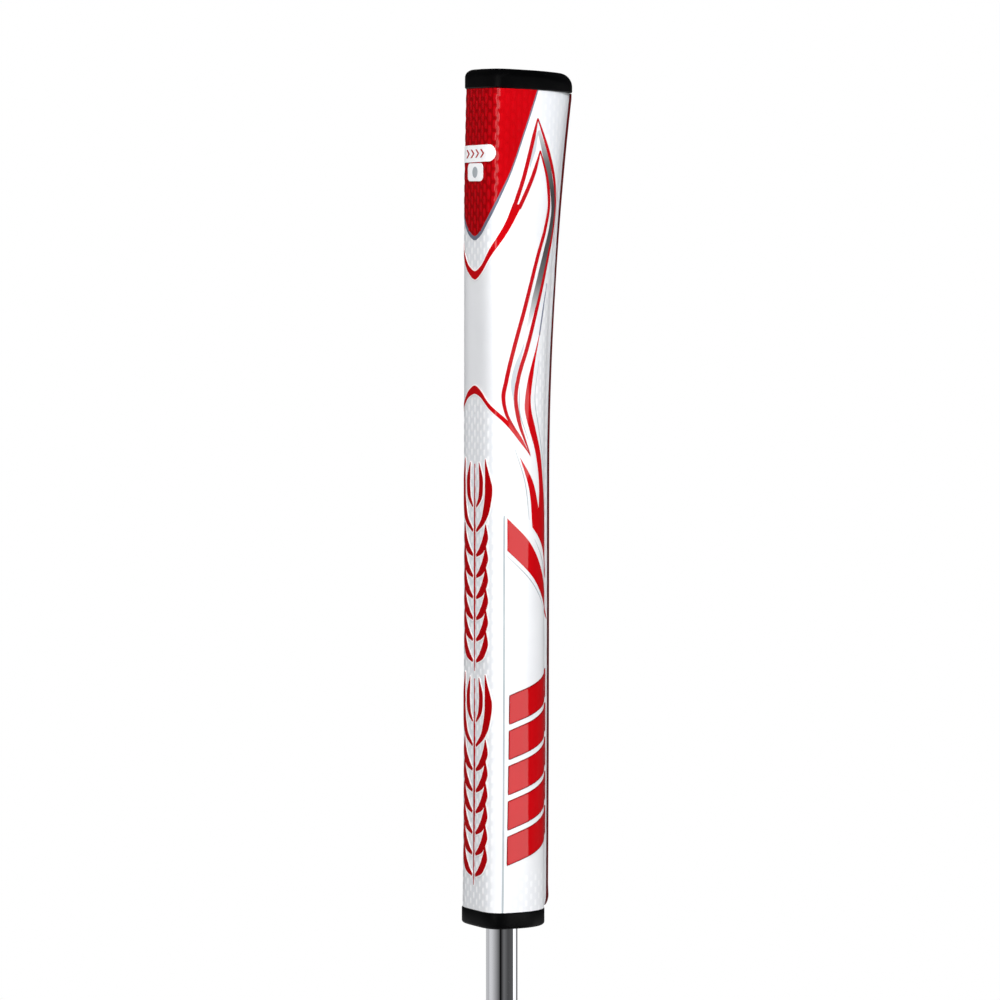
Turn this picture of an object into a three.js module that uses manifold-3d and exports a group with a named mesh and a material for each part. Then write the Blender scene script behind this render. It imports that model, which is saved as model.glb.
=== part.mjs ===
// Putter grip on a short length of steel shaft.
// Millimetres. +Z runs along the shaft axis towards the butt, the flat thumb face looks along -Y,
// and the flared back with its raised spine looks along +Y. The part is symmetric in X.
// The origin is on the shaft axis, at the bottom face of the rubber mouth ring.
import * as THREE from "three";
import { mergeVertices } from "three/addons/utils/BufferGeometryUtils.js";
import Module from "manifold-3d";

const wasm = await Module();
wasm.setup();

// ---------- driving dimensions ----------

const GRIP_LENGTH = 266.7; // mouth ring face to butt face, a standard 10.5 inch grip
const OUTLINE_POINTS = 40; // around the grip, half of them on the front
const ROUND_STEPS = 36; // around every turned piece
const BOND_GAP = 0.1; // glue line between one bonded layer and the next

// Cross-section of the wrap: a squarish front half joined to an elliptical back half.
const FRONT_EXPONENT = 4; // superellipse exponent that flattens the thumb face
const BODY_HALF_WIDTH = 12.0;
const BODY_FRONT = 9.4; // shaft axis to thumb face
const BODY_BACK = 13.4; // shaft axis to the back, beside the ridge
const MOUTH_SWELL_LENGTH = 45; // the grip swells slightly towards the mouth over this length
const MOUTH_SWELL_FRONT = 0.65;
const MOUTH_SWELL_SIDE = 0.25;
const FLARE_START = 140; // the pistol flare of the back grows from here
const FLARE_END = 259;
const FLARE_EXPONENT = 1.9;
const FLARE_BACK = 9.0;
const NOSE_START = 215; // the thumb face draws in from here to the butt
const NOSE_END = 261;
const NOSE_EXPONENT = 1.5;
const NOSE_DRAW = 0.9;
const WAIST = 0.6; // how far behind the shaft axis the grip is widest
const WAIST_SHIFT = 1.35; // extra shift of that widest line at the full flare

// Raised ridge moulded down the back of the wrap, and the coloured spine bonded onto it.
const RIDGE_HEIGHT = 2.0;
const RIDGE_HALF_WIDTH = 3.6;
const RIDGE_EXPONENT = 4;
const RIDGE_FADE_START = 200;
const RIDGE_FADE = 0.6; // share of the height lost at the butt
const RIDGE_DIP = 0.5; // ridge and spine are lower at the mouth, by this much at level 0
const SPINE_CREST = 16.45; // shaft axis to the spine's crest on the straight stretch
const SPINE_CREST_FLARE = 7.55;
const SPINE_HALF_WIDTH = 2.1;
const SPINE_HALF_WIDTH_FLARE = 1.1;
const TOE_START = 4.8; // ridge and spine round off into the wrap just above the mouth ring
const TOE_END = 8.5;
const TOE_BULGE = 0.25; // the spine stands prouder by this much at the top of its toe
const TOE_BULGE_REACH = 2.2;
const SPINE_BOTTOM = 5.3;

// The butt is cut a little off square, lower at the back.
const BUTT_SLANT = 0.04; // drop per millimetre towards the back
const SLANT_START = 200;
const SLANT_FULL = 260;

// Layers, from the outside in.
const SKIN_THICKNESS = 1.1;
const FELT_THICKNESS = 0.7;

// Mouth ring.
const RING_HEIGHT = 5.1;
const RING_PROUD = 0.2;
const RING_BACK = 13.2;
const RING_EDGE_RADIUS = 0.9;
const RING_EDGE_STEPS = 2;
const RING_SPIGOT_TOP = 8.1;

// Butt cap.
const CAP_SEAT = 260.7; // where the flange sits on the end of the wrap
const CAP_PROUD = 0.5;
const CAP_BACK = 23.9;
const CAP_EDGE_RADIUS = 3.0;
const CAP_EDGE_STEPS = 4;
const CAP_SPIGOT_BOTTOM = 248.2;

// Screw port in the butt: recess, threaded insert, plug and gasket.
const RECESS_RADIUS = 6.6;
const RECESS_FLOOR = 264.4;
const INSERT_BOTTOM = 250;
const INSERT_RADIUS = 5.3;
const INSERT_COLLAR_RADIUS = 6.0;
const INSERT_COLLAR_HEIGHT = 1.0;
const THREAD_BORE_RADIUS = 4.7;
const PLUG_SHANK_RADIUS = 4.6;
const PLUG_SHANK_BOTTOM = 255;
const PLUG_HEAD_RADIUS = 6.3;
const PLUG_HEAD_BOTTOM = 265.15;
const PLUG_HEAD_TOP = 266.35;
const PLUG_CHAMFER = 0.4;
const SOCKET_ACROSS_FLATS = 6;
const SOCKET_DEPTH = 5;
const GASKET_INNER_RADIUS = 4.8;
const GASKET_OUTER_RADIUS = 6.1;
const GASKET_BOTTOM = 264.5;
const GASKET_HEIGHT = 0.55;

// Stepped shaft, each step [height where it starts, outer radius].
const SHAFT_WALL = 0.6;
const SHAFT_BOTTOM = -30;
const SHAFT_TOP = 247;
const SHAFT_STEPS = [
  [SHAFT_BOTTOM, 4.95],
  [60, 5.15],
  [122, 5.35],
  [184, 5.5],
];
const STEP_CONE_LENGTH = 1;
const TAPE_THICKNESS = 0.2;
const TAPE_BOTTOM = 1;
const TAPE_TOP = 246;

// ---------- shape laws ----------

function ramp(value, start, end) {
  return THREE.MathUtils.clamp((value - start) / (end - start), 0, 1);
}

function flareAt(level) {
  return ramp(level, FLARE_START, FLARE_END) ** FLARE_EXPONENT;
}

// Half-widths and depths of the wrap's outside at one level.
function sectionAt(level) {
  const flare = flareAt(level);
  const swell = Math.exp(-level / MOUTH_SWELL_LENGTH);
  const nose = ramp(level, NOSE_START, NOSE_END) ** NOSE_EXPONENT;
  return {
    halfWidth: BODY_HALF_WIDTH + MOUTH_SWELL_SIDE * swell,
    front: BODY_FRONT + MOUTH_SWELL_FRONT * swell - NOSE_DRAW * nose,
    back: BODY_BACK + FLARE_BACK * flare,
    waist: WAIST + WAIST_SHIFT * flare,
  };
}

// Rises from 0 to 1 like a quarter circle over the rounded toe.
function toeGrowth(level) {
  return Math.sqrt(1 - (1 - ramp(level, TOE_START, TOE_END)) ** 2);
}

// How much lower the ridge and the spine are near the mouth.
function dipAt(level) {
  return RIDGE_DIP * Math.exp(-level / MOUTH_SWELL_LENGTH);
}

function ridgeAt(level, x) {
  const fade = 1 - RIDGE_FADE * ramp(level, RIDGE_FADE_START, FLARE_END);
  const height = (RIDGE_HEIGHT - dipAt(level)) * fade * toeGrowth(level);
  return height * Math.exp(-((Math.abs(x) / RIDGE_HALF_WIDTH) ** RIDGE_EXPONENT));
}

// The back of the wrap, ridge included, at a distance x from the middle.
function backAt(level, x) {
  const section = sectionAt(level);
  const depth = section.back - section.waist;
  return section.waist + depth * Math.sqrt(1 - (x / section.halfWidth) ** 2) + ridgeAt(level, x);
}

// Height of a point of one level, which leans with the slanted butt.
function heightAt(level, y) {
  return level - BUTT_SLANT * ramp(level, SLANT_START, SLANT_FULL) ** 2 * y;
}

// Closed outline at one level, offset inwards (outwards when inset is negative).
function outline(level, inset = 0, { ridged = false, back = undefined } = {}) {
  const section = sectionAt(level);
  const halfWidth = section.halfWidth - inset;
  const front = section.front - inset;
  const rear = back ?? section.back - inset;
  const points = [];
  for (let i = 0; i < OUTLINE_POINTS; i++) {
    const angle = (2 * Math.PI * i) / OUTLINE_POINTS;
    const across = Math.cos(angle);
    const along = Math.sin(angle);
    if (i > OUTLINE_POINTS / 2) {
      const x = Math.sign(across) * halfWidth * Math.abs(across) ** (2 / FRONT_EXPONENT);
      const y = section.waist - (front + section.waist) * Math.abs(along) ** (2 / FRONT_EXPONENT);
      points.push(new THREE.Vector2(x, y));
    } else {
      const x = halfWidth * across;
      const y = section.waist + (rear - section.waist) * along;
      points.push(new THREE.Vector2(x, y + (ridged ? ridgeAt(level, x) * along : 0)));
    }
  }
  return points;
}

// Levels where every bonded layer has a row of vertices: wide apart on the straight stretch,
// closer together where the back flares.
function levelsBetween(bottom, top) {
  const shared = [TOE_END, 13, 20, 50, 95];
  for (let level = FLARE_START; level < CAP_SEAT - 8; level += 17) shared.push(level);
  return [bottom, ...shared.filter((level) => level > bottom + 2 && level < top - 2), top];
}

// ---------- solid makers ----------

function row(level, points) {
  return points.map((p) => new THREE.Vector3(p.x, p.y, heightAt(level, p.y)));
}

// Joins rows of equal length. A looped stack closes on itself like a tyre; otherwise both ends
// are closed with a fan of triangles.
function stack(rows, looped) {
  const count = rows[0].length;
  const vertices = rows.flat();
  const faces = [];
  const bands = looped ? rows.length : rows.length - 1;
  for (let r = 0; r < bands; r++) {
    const lower = r * count;
    const upper = ((r + 1) % rows.length) * count;
    for (let i = 0; i < count; i++) {
      const next = (i + 1) % count;
      faces.push(lower + i, lower + next, upper + next);
      faces.push(lower + i, upper + next, upper + i);
    }
  }
  if (!looped) {
    const last = (rows.length - 1) * count;
    for (const [start, turn] of [[0, -1], [last, 1]]) {
      const middle = new THREE.Vector3();
      for (let i = 0; i < count; i++) middle.addScaledVector(vertices[start + i], 1 / count);
      vertices.push(middle);
      for (let i = 0; i < count; i++) {
        const a = start + i;
        const b = start + ((i + 1) % count);
        faces.push(vertices.length - 1, turn > 0 ? a : b, turn > 0 ? b : a);
      }
    }
  }
  const geometry = new THREE.BufferGeometry().setFromPoints(vertices);
  geometry.setIndex(faces);
  return geometry;
}

// A sleeve that follows the grip's outline, between two insets.
function outlineSleeve(bottom, top, outerInset, innerInset, options) {
  const levels = levelsBetween(bottom, top);
  const outer = levels.map((level) => row(level, outline(level, outerInset, options)));
  const inner = levels.map((level) => row(level, outline(level, innerInset)));
  return stack([...outer, ...inner.reverse()], true);
}

// A turned piece from its [radius, height] profile, listed upwards on the outside.
function turned(profile) {
  const points = profile.map(([radius, height]) => new THREE.Vector2(radius, height));
  return new THREE.LatheGeometry(points, ROUND_STEPS).rotateX(Math.PI / 2);
}

function turnedRing(profile) {
  return turned([...profile, profile[0]]);
}

function cylinder(radius, bottom, top) {
  return turned([[0, bottom], [radius, bottom], [radius, top], [0, top]]);
}

function toSolid(geometry) {
  const bare = geometry.clone();
  bare.deleteAttribute("normal");
  bare.deleteAttribute("uv");
  const merged = mergeVertices(bare, 1e-4);
  return new wasm.Manifold(new wasm.Mesh({
    numProp: 3,
    vertProperties: new Float32Array(merged.attributes.position.array),
    triVerts: new Uint32Array(merged.index.array),
  }));
}

function cut(geometry, ...cutters) {
  let solid = toSolid(geometry);
  for (const cutter of cutters) solid = solid.subtract(toSolid(cutter));
  const mesh = solid.getMesh();
  const result = new THREE.BufferGeometry();
  result.setAttribute("position", new THREE.BufferAttribute(mesh.vertProperties, 3));
  result.setIndex(new THREE.BufferAttribute(mesh.triVerts, 1));
  return result;
}

// Outer profile of the stepped shaft, enlarged by a margin, between two heights.
function shaftProfile(bottom, top, margin) {
  const profile = [[SHAFT_STEPS[0][1] + margin, bottom]];
  for (let i = 1; i < SHAFT_STEPS.length; i++) {
    const [start, radius] = SHAFT_STEPS[i];
    profile.push([SHAFT_STEPS[i - 1][1] + margin, start]);
    profile.push([radius + margin, start + STEP_CONE_LENGTH]);
  }
  profile.push([SHAFT_STEPS.at(-1)[1] + margin, top]);
  return profile;
}

// ---------- pieces ----------

const feltOuterInset = SKIN_THICKNESS + BOND_GAP;
const feltInnerInset = feltOuterInset + FELT_THICKNESS;
const coreInset = feltInnerInset + BOND_GAP;
const boreMargin = TAPE_THICKNESS + 2 * BOND_GAP;
const wrapBottom = RING_HEIGHT + BOND_GAP;
const wrapTop = CAP_SEAT - BOND_GAP;

function outerSkin() {
  return outlineSleeve(wrapBottom, wrapTop, 0, SKIN_THICKNESS, { ridged: true });
}

function feltBacking() {
  return outlineSleeve(wrapBottom, wrapTop, feltOuterInset, feltInnerInset);
}

function foamCore() {
  const bottom = RING_SPIGOT_TOP + BOND_GAP;
  const top = CAP_SPIGOT_BOTTOM - BOND_GAP;
  const rows = levelsBetween(bottom, top).map((level) => row(level, outline(level, coreInset)));
  const bore = shaftProfile(bottom - 5, top + 5, boreMargin);
  return cut(stack(rows, false), turned([[0, bottom - 5], ...bore, [0, top + 5]]));
}

// The spine is a low rib, seated on the ridge and round on top, with a rounded toe.
function spineRib() {
  const seatGap = BOND_GAP + 0.05; // clears the facets of the ridge
  const arcSteps = 8;
  const levels = [SPINE_BOTTOM, ...levelsBetween(TOE_START + 1.5, wrapTop - BOND_GAP)];
  const rows = levels.map((level) => {
    const growth = toeGrowth(level);
    const fullHalfWidth = SPINE_HALF_WIDTH + SPINE_HALF_WIDTH_FLARE * flareAt(level);
    const halfWidth = fullHalfWidth * (0.4 + 0.6 * growth);
    const seatAt = (x) => backAt(level, x) + seatGap;
    const bulge = TOE_BULGE * Math.exp(-(((level - TOE_END) / TOE_BULGE_REACH) ** 2));
    const fullCrest = SPINE_CREST + SPINE_CREST_FLARE * flareAt(level) - dipAt(level) + bulge;
    const crest = seatAt(0) + (fullCrest - seatAt(0)) * growth;
    const shoulder = seatAt(halfWidth);
    const points = [];
    for (let i = 0; i <= arcSteps; i++) {
      const angle = (Math.PI * i) / arcSteps;
      const x = halfWidth * Math.cos(angle);
      points.push(new THREE.Vector2(x, shoulder + (crest - shoulder) * Math.sin(angle)));
    }
    for (const share of [-0.6, 0, 0.6]) {
      points.push(new THREE.Vector2(share * halfWidth, seatAt(share * halfWidth)));
    }
    return row(level, points);
  });
  return stack(rows, false);
}

function buttCap() {
  const flange = (inset) => outline(CAP_SEAT, inset - CAP_PROUD, { back: CAP_BACK - inset });
  const rows = [
    row(CAP_SPIGOT_BOTTOM, outline(CAP_SPIGOT_BOTTOM, coreInset)),
    row(CAP_SEAT, outline(CAP_SEAT, coreInset)),
    row(CAP_SEAT, flange(0)),
  ];
  for (let i = 0; i <= CAP_EDGE_STEPS; i++) {
    const angle = (Math.PI / 2) * (i / CAP_EDGE_STEPS);
    const level = GRIP_LENGTH - CAP_EDGE_RADIUS * (1 - Math.sin(angle));
    rows.push(row(level, flange(CAP_EDGE_RADIUS * (1 - Math.cos(angle)))));
  }
  const collarSeat = RECESS_FLOOR - INSERT_COLLAR_HEIGHT - 2 * BOND_GAP;
  return cut(
    stack(rows, false),
    cylinder(RECESS_RADIUS, RECESS_FLOOR, GRIP_LENGTH + 2),
    cylinder(INSERT_COLLAR_RADIUS + BOND_GAP, collarSeat, RECESS_FLOOR + 1),
    cylinder(INSERT_RADIUS + BOND_GAP, CAP_SPIGOT_BOTTOM - 2, RECESS_FLOOR),
  );
}

function portInsert() {
  const top = RECESS_FLOOR - BOND_GAP;
  const collarBottom = top - INSERT_COLLAR_HEIGHT;
  return turnedRing([
    [THREAD_BORE_RADIUS, INSERT_BOTTOM],
    [INSERT_RADIUS, INSERT_BOTTOM],
    [INSERT_RADIUS, collarBottom],
    [INSERT_COLLAR_RADIUS, collarBottom],
    [INSERT_COLLAR_RADIUS, top],
    [THREAD_BORE_RADIUS, top],
  ]);
}

function portPlug() {
  const blank = turned([
    [0, PLUG_SHANK_BOTTOM],
    [PLUG_SHANK_RADIUS - PLUG_CHAMFER, PLUG_SHANK_BOTTOM],
    [PLUG_SHANK_RADIUS, PLUG_SHANK_BOTTOM + PLUG_CHAMFER],
    [PLUG_SHANK_RADIUS, PLUG_HEAD_BOTTOM],
    [PLUG_HEAD_RADIUS, PLUG_HEAD_BOTTOM],
    [PLUG_HEAD_RADIUS, PLUG_HEAD_TOP - PLUG_CHAMFER],
    [PLUG_HEAD_RADIUS - PLUG_CHAMFER, PLUG_HEAD_TOP],
    [0, PLUG_HEAD_TOP],
  ]);
  const hexagon = new THREE.Shape();
  for (let corner = 0; corner < 6; corner++) {
    const angle = (Math.PI / 3) * corner;
    const reach = SOCKET_ACROSS_FLATS / Math.sqrt(3);
    hexagon[corner ? "lineTo" : "moveTo"](reach * Math.cos(angle), reach * Math.sin(angle));
  }
  hexagon.closePath();
  const socket = new THREE.ExtrudeGeometry(hexagon, { depth: SOCKET_DEPTH + 1, bevelEnabled: false });
  return cut(blank, socket.translate(0, 0, PLUG_HEAD_TOP - SOCKET_DEPTH));
}

function plugGasket() {
  return turnedRing([
    [GASKET_INNER_RADIUS, GASKET_BOTTOM],
    [GASKET_OUTER_RADIUS, GASKET_BOTTOM],
    [GASKET_OUTER_RADIUS, GASKET_BOTTOM + GASKET_HEIGHT],
    [GASKET_INNER_RADIUS, GASKET_BOTTOM + GASKET_HEIGHT],
  ]);
}

function mouthRing() {
  const flange = (inset) => outline(0, inset - RING_PROUD, { back: RING_BACK - inset });
  const rows = [];
  for (let i = 0; i <= RING_EDGE_STEPS; i++) {
    const angle = (Math.PI / 2) * (i / RING_EDGE_STEPS);
    const level = RING_EDGE_RADIUS * (1 - Math.cos(angle));
    rows.push(row(level, flange(RING_EDGE_RADIUS * (1 - Math.sin(angle)))));
  }
  rows.push(row(RING_HEIGHT, flange(0)));
  rows.push(row(RING_HEIGHT, outline(RING_HEIGHT, coreInset)));
  rows.push(row(RING_SPIGOT_TOP, outline(RING_SPIGOT_TOP, coreInset)));
  const shaftHole = cylinder(SHAFT_STEPS[0][1] + boreMargin, -1, RING_SPIGOT_TOP + 1);
  return cut(stack(rows, false), shaftHole);
}

function gripTape() {
  const outer = shaftProfile(TAPE_BOTTOM, TAPE_TOP, BOND_GAP + TAPE_THICKNESS);
  const inner = shaftProfile(TAPE_BOTTOM, TAPE_TOP, BOND_GAP);
  return turnedRing([...outer, ...inner.reverse()]);
}

function shaftTube() {
  const outer = shaftProfile(SHAFT_BOTTOM, SHAFT_TOP, 0);
  const inner = shaftProfile(SHAFT_BOTTOM, SHAFT_TOP, -SHAFT_WALL);
  return turnedRing([...outer, ...inner.reverse()]);
}

// ---------- assembly ----------

const finishes = {
  skin: { color: 0xf2f3f5, roughness: 0.42, metalness: 0 },
  spine: { color: 0x5a0a0e, roughness: 0.4, metalness: 0 },
  felt: { color: 0x8c8f93, roughness: 0.95, metalness: 0 },
  foam: { color: 0x3b3d40, roughness: 0.9, metalness: 0 },
  rubber: { color: 0x0b0b0c, roughness: 0.6, metalness: 0 },
  insert: { color: 0xb9bcc0, roughness: 0.35, metalness: 1 },
  plug: { color: 0x17181a, roughness: 0.4, metalness: 0 },
  tape: { color: 0xd9cfae, roughness: 0.8, metalness: 0 },
  chrome: { color: 0xc8cbd0, roughness: 0.12, metalness: 1 },
};

const pieces = [
  ["outer_skin", outerSkin, "skin"],
  ["felt_backing", feltBacking, "felt"],
  ["foam_core", foamCore, "foam"],
  ["spine_rib", spineRib, "spine"],
  ["mouth_ring", mouthRing, "rubber"],
  ["butt_cap", buttCap, "rubber"],
  ["port_insert", portInsert, "insert"],
  ["port_plug", portPlug, "plug"],
  ["plug_gasket", plugGasket, "rubber"],
  ["grip_tape", gripTape, "tape"],
  ["shaft_tube", shaftTube, "chrome"],
];

const grip = new THREE.Group();
for (const [name, makeGeometry, finish] of pieces) {
  const mesh = new THREE.Mesh(makeGeometry(), new THREE.MeshStandardMaterial(finishes[finish]));
  mesh.name = name;
  grip.add(mesh);
}

export default grip;
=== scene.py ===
"""Looks of the putter grip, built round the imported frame.

Lengths are in millimetres, as in the part's own source, and meshes are made in metres.
Printed shapes are drawn on the wrap laid flat: a is the distance round the wrap from the middle
of the thumb face, level is the height along the grip before the butt's slant.
"""

import math

import bpy
import numpy as np
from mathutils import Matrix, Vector
from mathutils.geometry import delaunay_2d_cdt


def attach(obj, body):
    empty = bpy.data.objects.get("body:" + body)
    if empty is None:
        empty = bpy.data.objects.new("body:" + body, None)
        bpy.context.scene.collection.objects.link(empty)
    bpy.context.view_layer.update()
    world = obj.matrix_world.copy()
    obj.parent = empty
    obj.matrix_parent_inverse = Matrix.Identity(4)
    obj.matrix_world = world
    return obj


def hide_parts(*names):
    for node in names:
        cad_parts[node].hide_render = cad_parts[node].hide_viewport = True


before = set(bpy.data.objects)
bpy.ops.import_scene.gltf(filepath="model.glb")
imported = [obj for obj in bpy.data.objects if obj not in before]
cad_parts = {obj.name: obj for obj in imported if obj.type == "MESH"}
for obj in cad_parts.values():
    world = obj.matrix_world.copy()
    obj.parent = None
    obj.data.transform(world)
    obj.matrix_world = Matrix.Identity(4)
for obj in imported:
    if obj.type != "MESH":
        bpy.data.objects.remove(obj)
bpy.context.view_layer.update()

MM = 0.001

# ---------- the part's own measures ----------

GRIP_LENGTH = 266.7
BOND_GAP = 0.1
FRONT_EXPONENT = 4
BODY_HALF_WIDTH = 12.0
BODY_FRONT = 9.4
BODY_BACK = 13.4
MOUTH_SWELL_LENGTH = 45
MOUTH_SWELL_FRONT = 0.65
MOUTH_SWELL_SIDE = 0.25
FLARE_START = 140
FLARE_END = 259
FLARE_EXPONENT = 1.9
FLARE_BACK = 9.0
NOSE_START = 215
NOSE_END = 261
NOSE_EXPONENT = 1.5
NOSE_DRAW = 0.9
WAIST = 0.6
WAIST_SHIFT = 1.35
RIDGE_HEIGHT = 2.0
RIDGE_HALF_WIDTH = 3.6
RIDGE_EXPONENT = 4
RIDGE_FADE_START = 200
RIDGE_FADE = 0.6
RIDGE_DIP = 0.5
SPINE_CREST = 16.45
SPINE_CREST_FLARE = 7.55
SPINE_HALF_WIDTH = 2.1
SPINE_HALF_WIDTH_FLARE = 1.1
TOE_START = 4.8
TOE_END = 8.5
TOE_BULGE = 0.25
TOE_BULGE_REACH = 2.2
SPINE_BOTTOM = 5.3
BUTT_SLANT = 0.04
SLANT_START = 200
SLANT_FULL = 260
SKIN_THICKNESS = 1.1
CORE_INSET = 2.0
RING_HEIGHT = 5.1
RING_PROUD = 0.2
RING_BACK = 13.2
RING_EDGE_RADIUS = 0.9
RING_SPIGOT_TOP = 8.1
CAP_SEAT = 260.7
CAP_PROUD = 0.5
CAP_BACK = 23.9
CAP_SPIGOT_BOTTOM = 248.2
RECESS_RADIUS = 6.6
RECESS_FLOOR = 264.4
INSERT_RADIUS = 5.3
INSERT_COLLAR_RADIUS = 6.0
COLLAR_SEAT = 263.2
PLUG_SHANK_RADIUS = 4.6
PLUG_SHANK_BOTTOM = 255
PLUG_HEAD_RADIUS = 6.3
PLUG_HEAD_BOTTOM = 265.15
PLUG_HEAD_TOP = 266.35
SOCKET_ACROSS_FLATS = 6
SOCKET_DEPTH = 5
GASKET_INNER_RADIUS = 4.8
GASKET_OUTER_RADIUS = 6.1
GASKET_BOTTOM = 264.5
GASKET_HEIGHT = 0.55
SHAFT_WALL = 0.6
SHAFT_BOTTOM = -30
SHAFT_TOP = 247
SHAFT_STEPS = [(SHAFT_BOTTOM, 4.95), (60, 5.15), (122, 5.35), (184, 5.5)]
STEP_CONE_LENGTH = 1
BORE_MARGIN = 0.4

WRAP_BOTTOM = RING_HEIGHT + BOND_GAP
WRAP_TOP = CAP_SEAT - BOND_GAP

# ---------- edges and details that the part leaves out ----------

RING_FULLER = 0.35  # how much fuller the ring's back is than the part's
RING_TOP_EDGE = 0.25
RING_HOLE_CHAMFER = 0.3
CAP_FRONT_RADIUS = 2.5  # the cap's top edge is rounder at the back than at the front
CAP_BACK_RADIUS = 4.2
CAP_ROUNDER_FROM = 4
CAP_ROUNDER_TO = 22
CAP_LIP = 0.25
RECESS_EDGE_RADIUS = 0.35
SPINE_SEAT_GAP = BOND_GAP + 0.05
TOE_WIDTH_SHARE = 0.4  # width left at the very foot of the spine's toe
SHAFT_BEVEL = 0.12
THREAD_LEAD = 1.5  # the same as the rise per turn of the plug's motion
THREAD_DEPTH = 0.55
FLANK_START = 0.15  # where a thread's flank starts and ends, as shares of half the lead
FLANK_END = 0.75
THREAD_RUN_IN = 1.2  # the thread fades in and out over these heights
THREAD_RUN_OUT = 0.8
UNDERCUT = 0.1  # plain shank left between the thread and the head
SHANK_END_CHAMFER = 0.3
HEAD_NOTCHES = 24
HEAD_NOTCH_DEPTH = 0.12
HEAD_EDGE_RADIUS = 0.4
HEAD_FOOT_BEVEL = 0.1
HEAD_GROOVE = [(5.3, 0), (5.15, 0.12), (4.85, 0.12), (4.7, 0)]  # (radius, depth)
SOCKET_CHAMFER = 0.3
SOCKET_POINT = 0.4  # size of the drill point under the socket, as a share of the socket

# ---------- how finely things are meshed ----------

TABLE_LEVEL_STEP = 1.0
TABLE_STEP = 0.2
TABLE_REACH = 48.0
HALF_COLUMNS = 104
SKIN_ROWS = 390
INNER_ROWS = 12
END_HALF_COLUMNS = 90
SPINE_ROWS = 150
TOE_ROWS = 14
TOE_FIRST_ANGLE = 0.45
SPINE_ARC_STEPS = 28
PLUG_COLUMNS = 96
THREAD_STEP = 0.1
SHAFT_COLUMNS = 128
GASKET_COLUMNS = 72
GASKET_SIDES = 24
CURVE_STEP = 0.5
PATCH_SPACING = (0.9, 1.6)
FINE_SPACING = (0.4, 0.75)
BORDER_CLEARANCE = 0.4  # as a share of the spacing
PATCH_SINK = 0.15
LEAST_STROKE = 0.06

# ---------- the skin's embossing ----------

DASH_PITCH = 1.96
DASH_WIDTH = 1.3
DASH_LENGTH = 2.6
DASH_SPACING = 3.9
DASH_HEIGHT = 0.1
GROOVE_AT = 13.4
GROOVE_DEPTH = 0.14
GROOVE_WIDTH = 0.35
GROOVE_TOP = 130

# How strongly each zone is embossed, from 0 to 1.
UNDER_V_STRENGTH = 0.8
THUMB_STRENGTH = 0.85
STRIP_STRENGTH = 0.55
LOW_SIDE_STRENGTH = 0.4

# Where the zones end, with a and level as on the flat wrap.
BELOW_FIELD = -9  # stands for a shape's reach below its lowest point
V_TOP_REACH = 15
THUMB_REACH = 10.6
UNDER_V_REACH = 10.5
THUMB_BOTTOM = 5
LOW_SIDE_TOP = 18.5
LOW_SIDE_START = 15.5
LOW_SIDE_END = 35
STRIP_BOTTOM = 112
STRIP_MARGIN = 1.6
STRIP_BESIDE_SPIKE = 196  # the strip runs beside the spike above this level
STRIP_BESIDE_FIELD = 247  # and beside the top field above this one
STRIP_FIELD_MARGIN = 1.2
STRIP_END = 37
STRIP_END_FLARE = 6
PAST_RIB = 60

# The strip is greyer near the butt, and the top field's dashes hardly show round the side.
STRIP_GREY = 0.42
STRIP_GREY_FROM = 225
STRIP_GREY_TO = 245
SIDE_CONTRAST_LOSS = 0.8
SIDE_FROM = 9.5
SIDE_TO = 12

# ---------- how far the print stands off the skin ----------

LIFT_GROOVE = -0.07
LIFT_RIM = 0.03
LIFT_BAND_RIM = 0.07
LIFT_PAD = 0.1
LIFT_LEAF_RIM = 0.12
LIFT_PRINT = 0.13
LIFT_LINE = 0.14
LIFT_TOP = 0.16
LIFT_BADGE = 0.26
LIFT_MARK = 0.3


# ---------- shape laws ----------

def ramp(value, start, end):
    return np.clip((value - start) / (end - start), 0, 1)


def flare_at(level):
    return ramp(level, FLARE_START, FLARE_END) ** FLARE_EXPONENT


def section_at(level):
    """Half-width, front, back and waist of the wrap's outside at one level."""
    flare = flare_at(level)
    swell = np.exp(-level / MOUTH_SWELL_LENGTH)
    nose = ramp(level, NOSE_START, NOSE_END) ** NOSE_EXPONENT
    return (
        BODY_HALF_WIDTH + MOUTH_SWELL_SIDE * swell,
        BODY_FRONT + MOUTH_SWELL_FRONT * swell - NOSE_DRAW * nose,
        BODY_BACK + FLARE_BACK * flare,
        WAIST + WAIST_SHIFT * flare,
    )


def toe_growth(level):
    """Rises from 0 to 1 like a quarter circle over the rounded toe."""
    return np.sqrt(1 - (1 - ramp(level, TOE_START, TOE_END)) ** 2)


def dip_at(level):
    """How much lower the ridge and its rib are near the mouth."""
    return RIDGE_DIP * np.exp(-level / MOUTH_SWELL_LENGTH)


def ridge_at(level, x):
    """How far the low ridge under the spine stands out."""
    fade = 1 - RIDGE_FADE * ramp(level, RIDGE_FADE_START, FLARE_END)
    height = (RIDGE_HEIGHT - dip_at(level)) * fade * toe_growth(level)
    return height * np.exp(-((np.abs(x) / RIDGE_HALF_WIDTH) ** RIDGE_EXPONENT))


def back_at(level, x):
    """The back face's y, ridge included."""
    half_width, _, back, waist = section_at(level)
    return waist + (back - waist) * np.sqrt(1 - (x / half_width) ** 2) + ridge_at(level, x)


def height_at(level, y):
    """Height of a point of one level, which leans with the slanted butt."""
    return level - BUTT_SLANT * ramp(level, SLANT_START, SLANT_FULL) ** 2 * y


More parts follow.
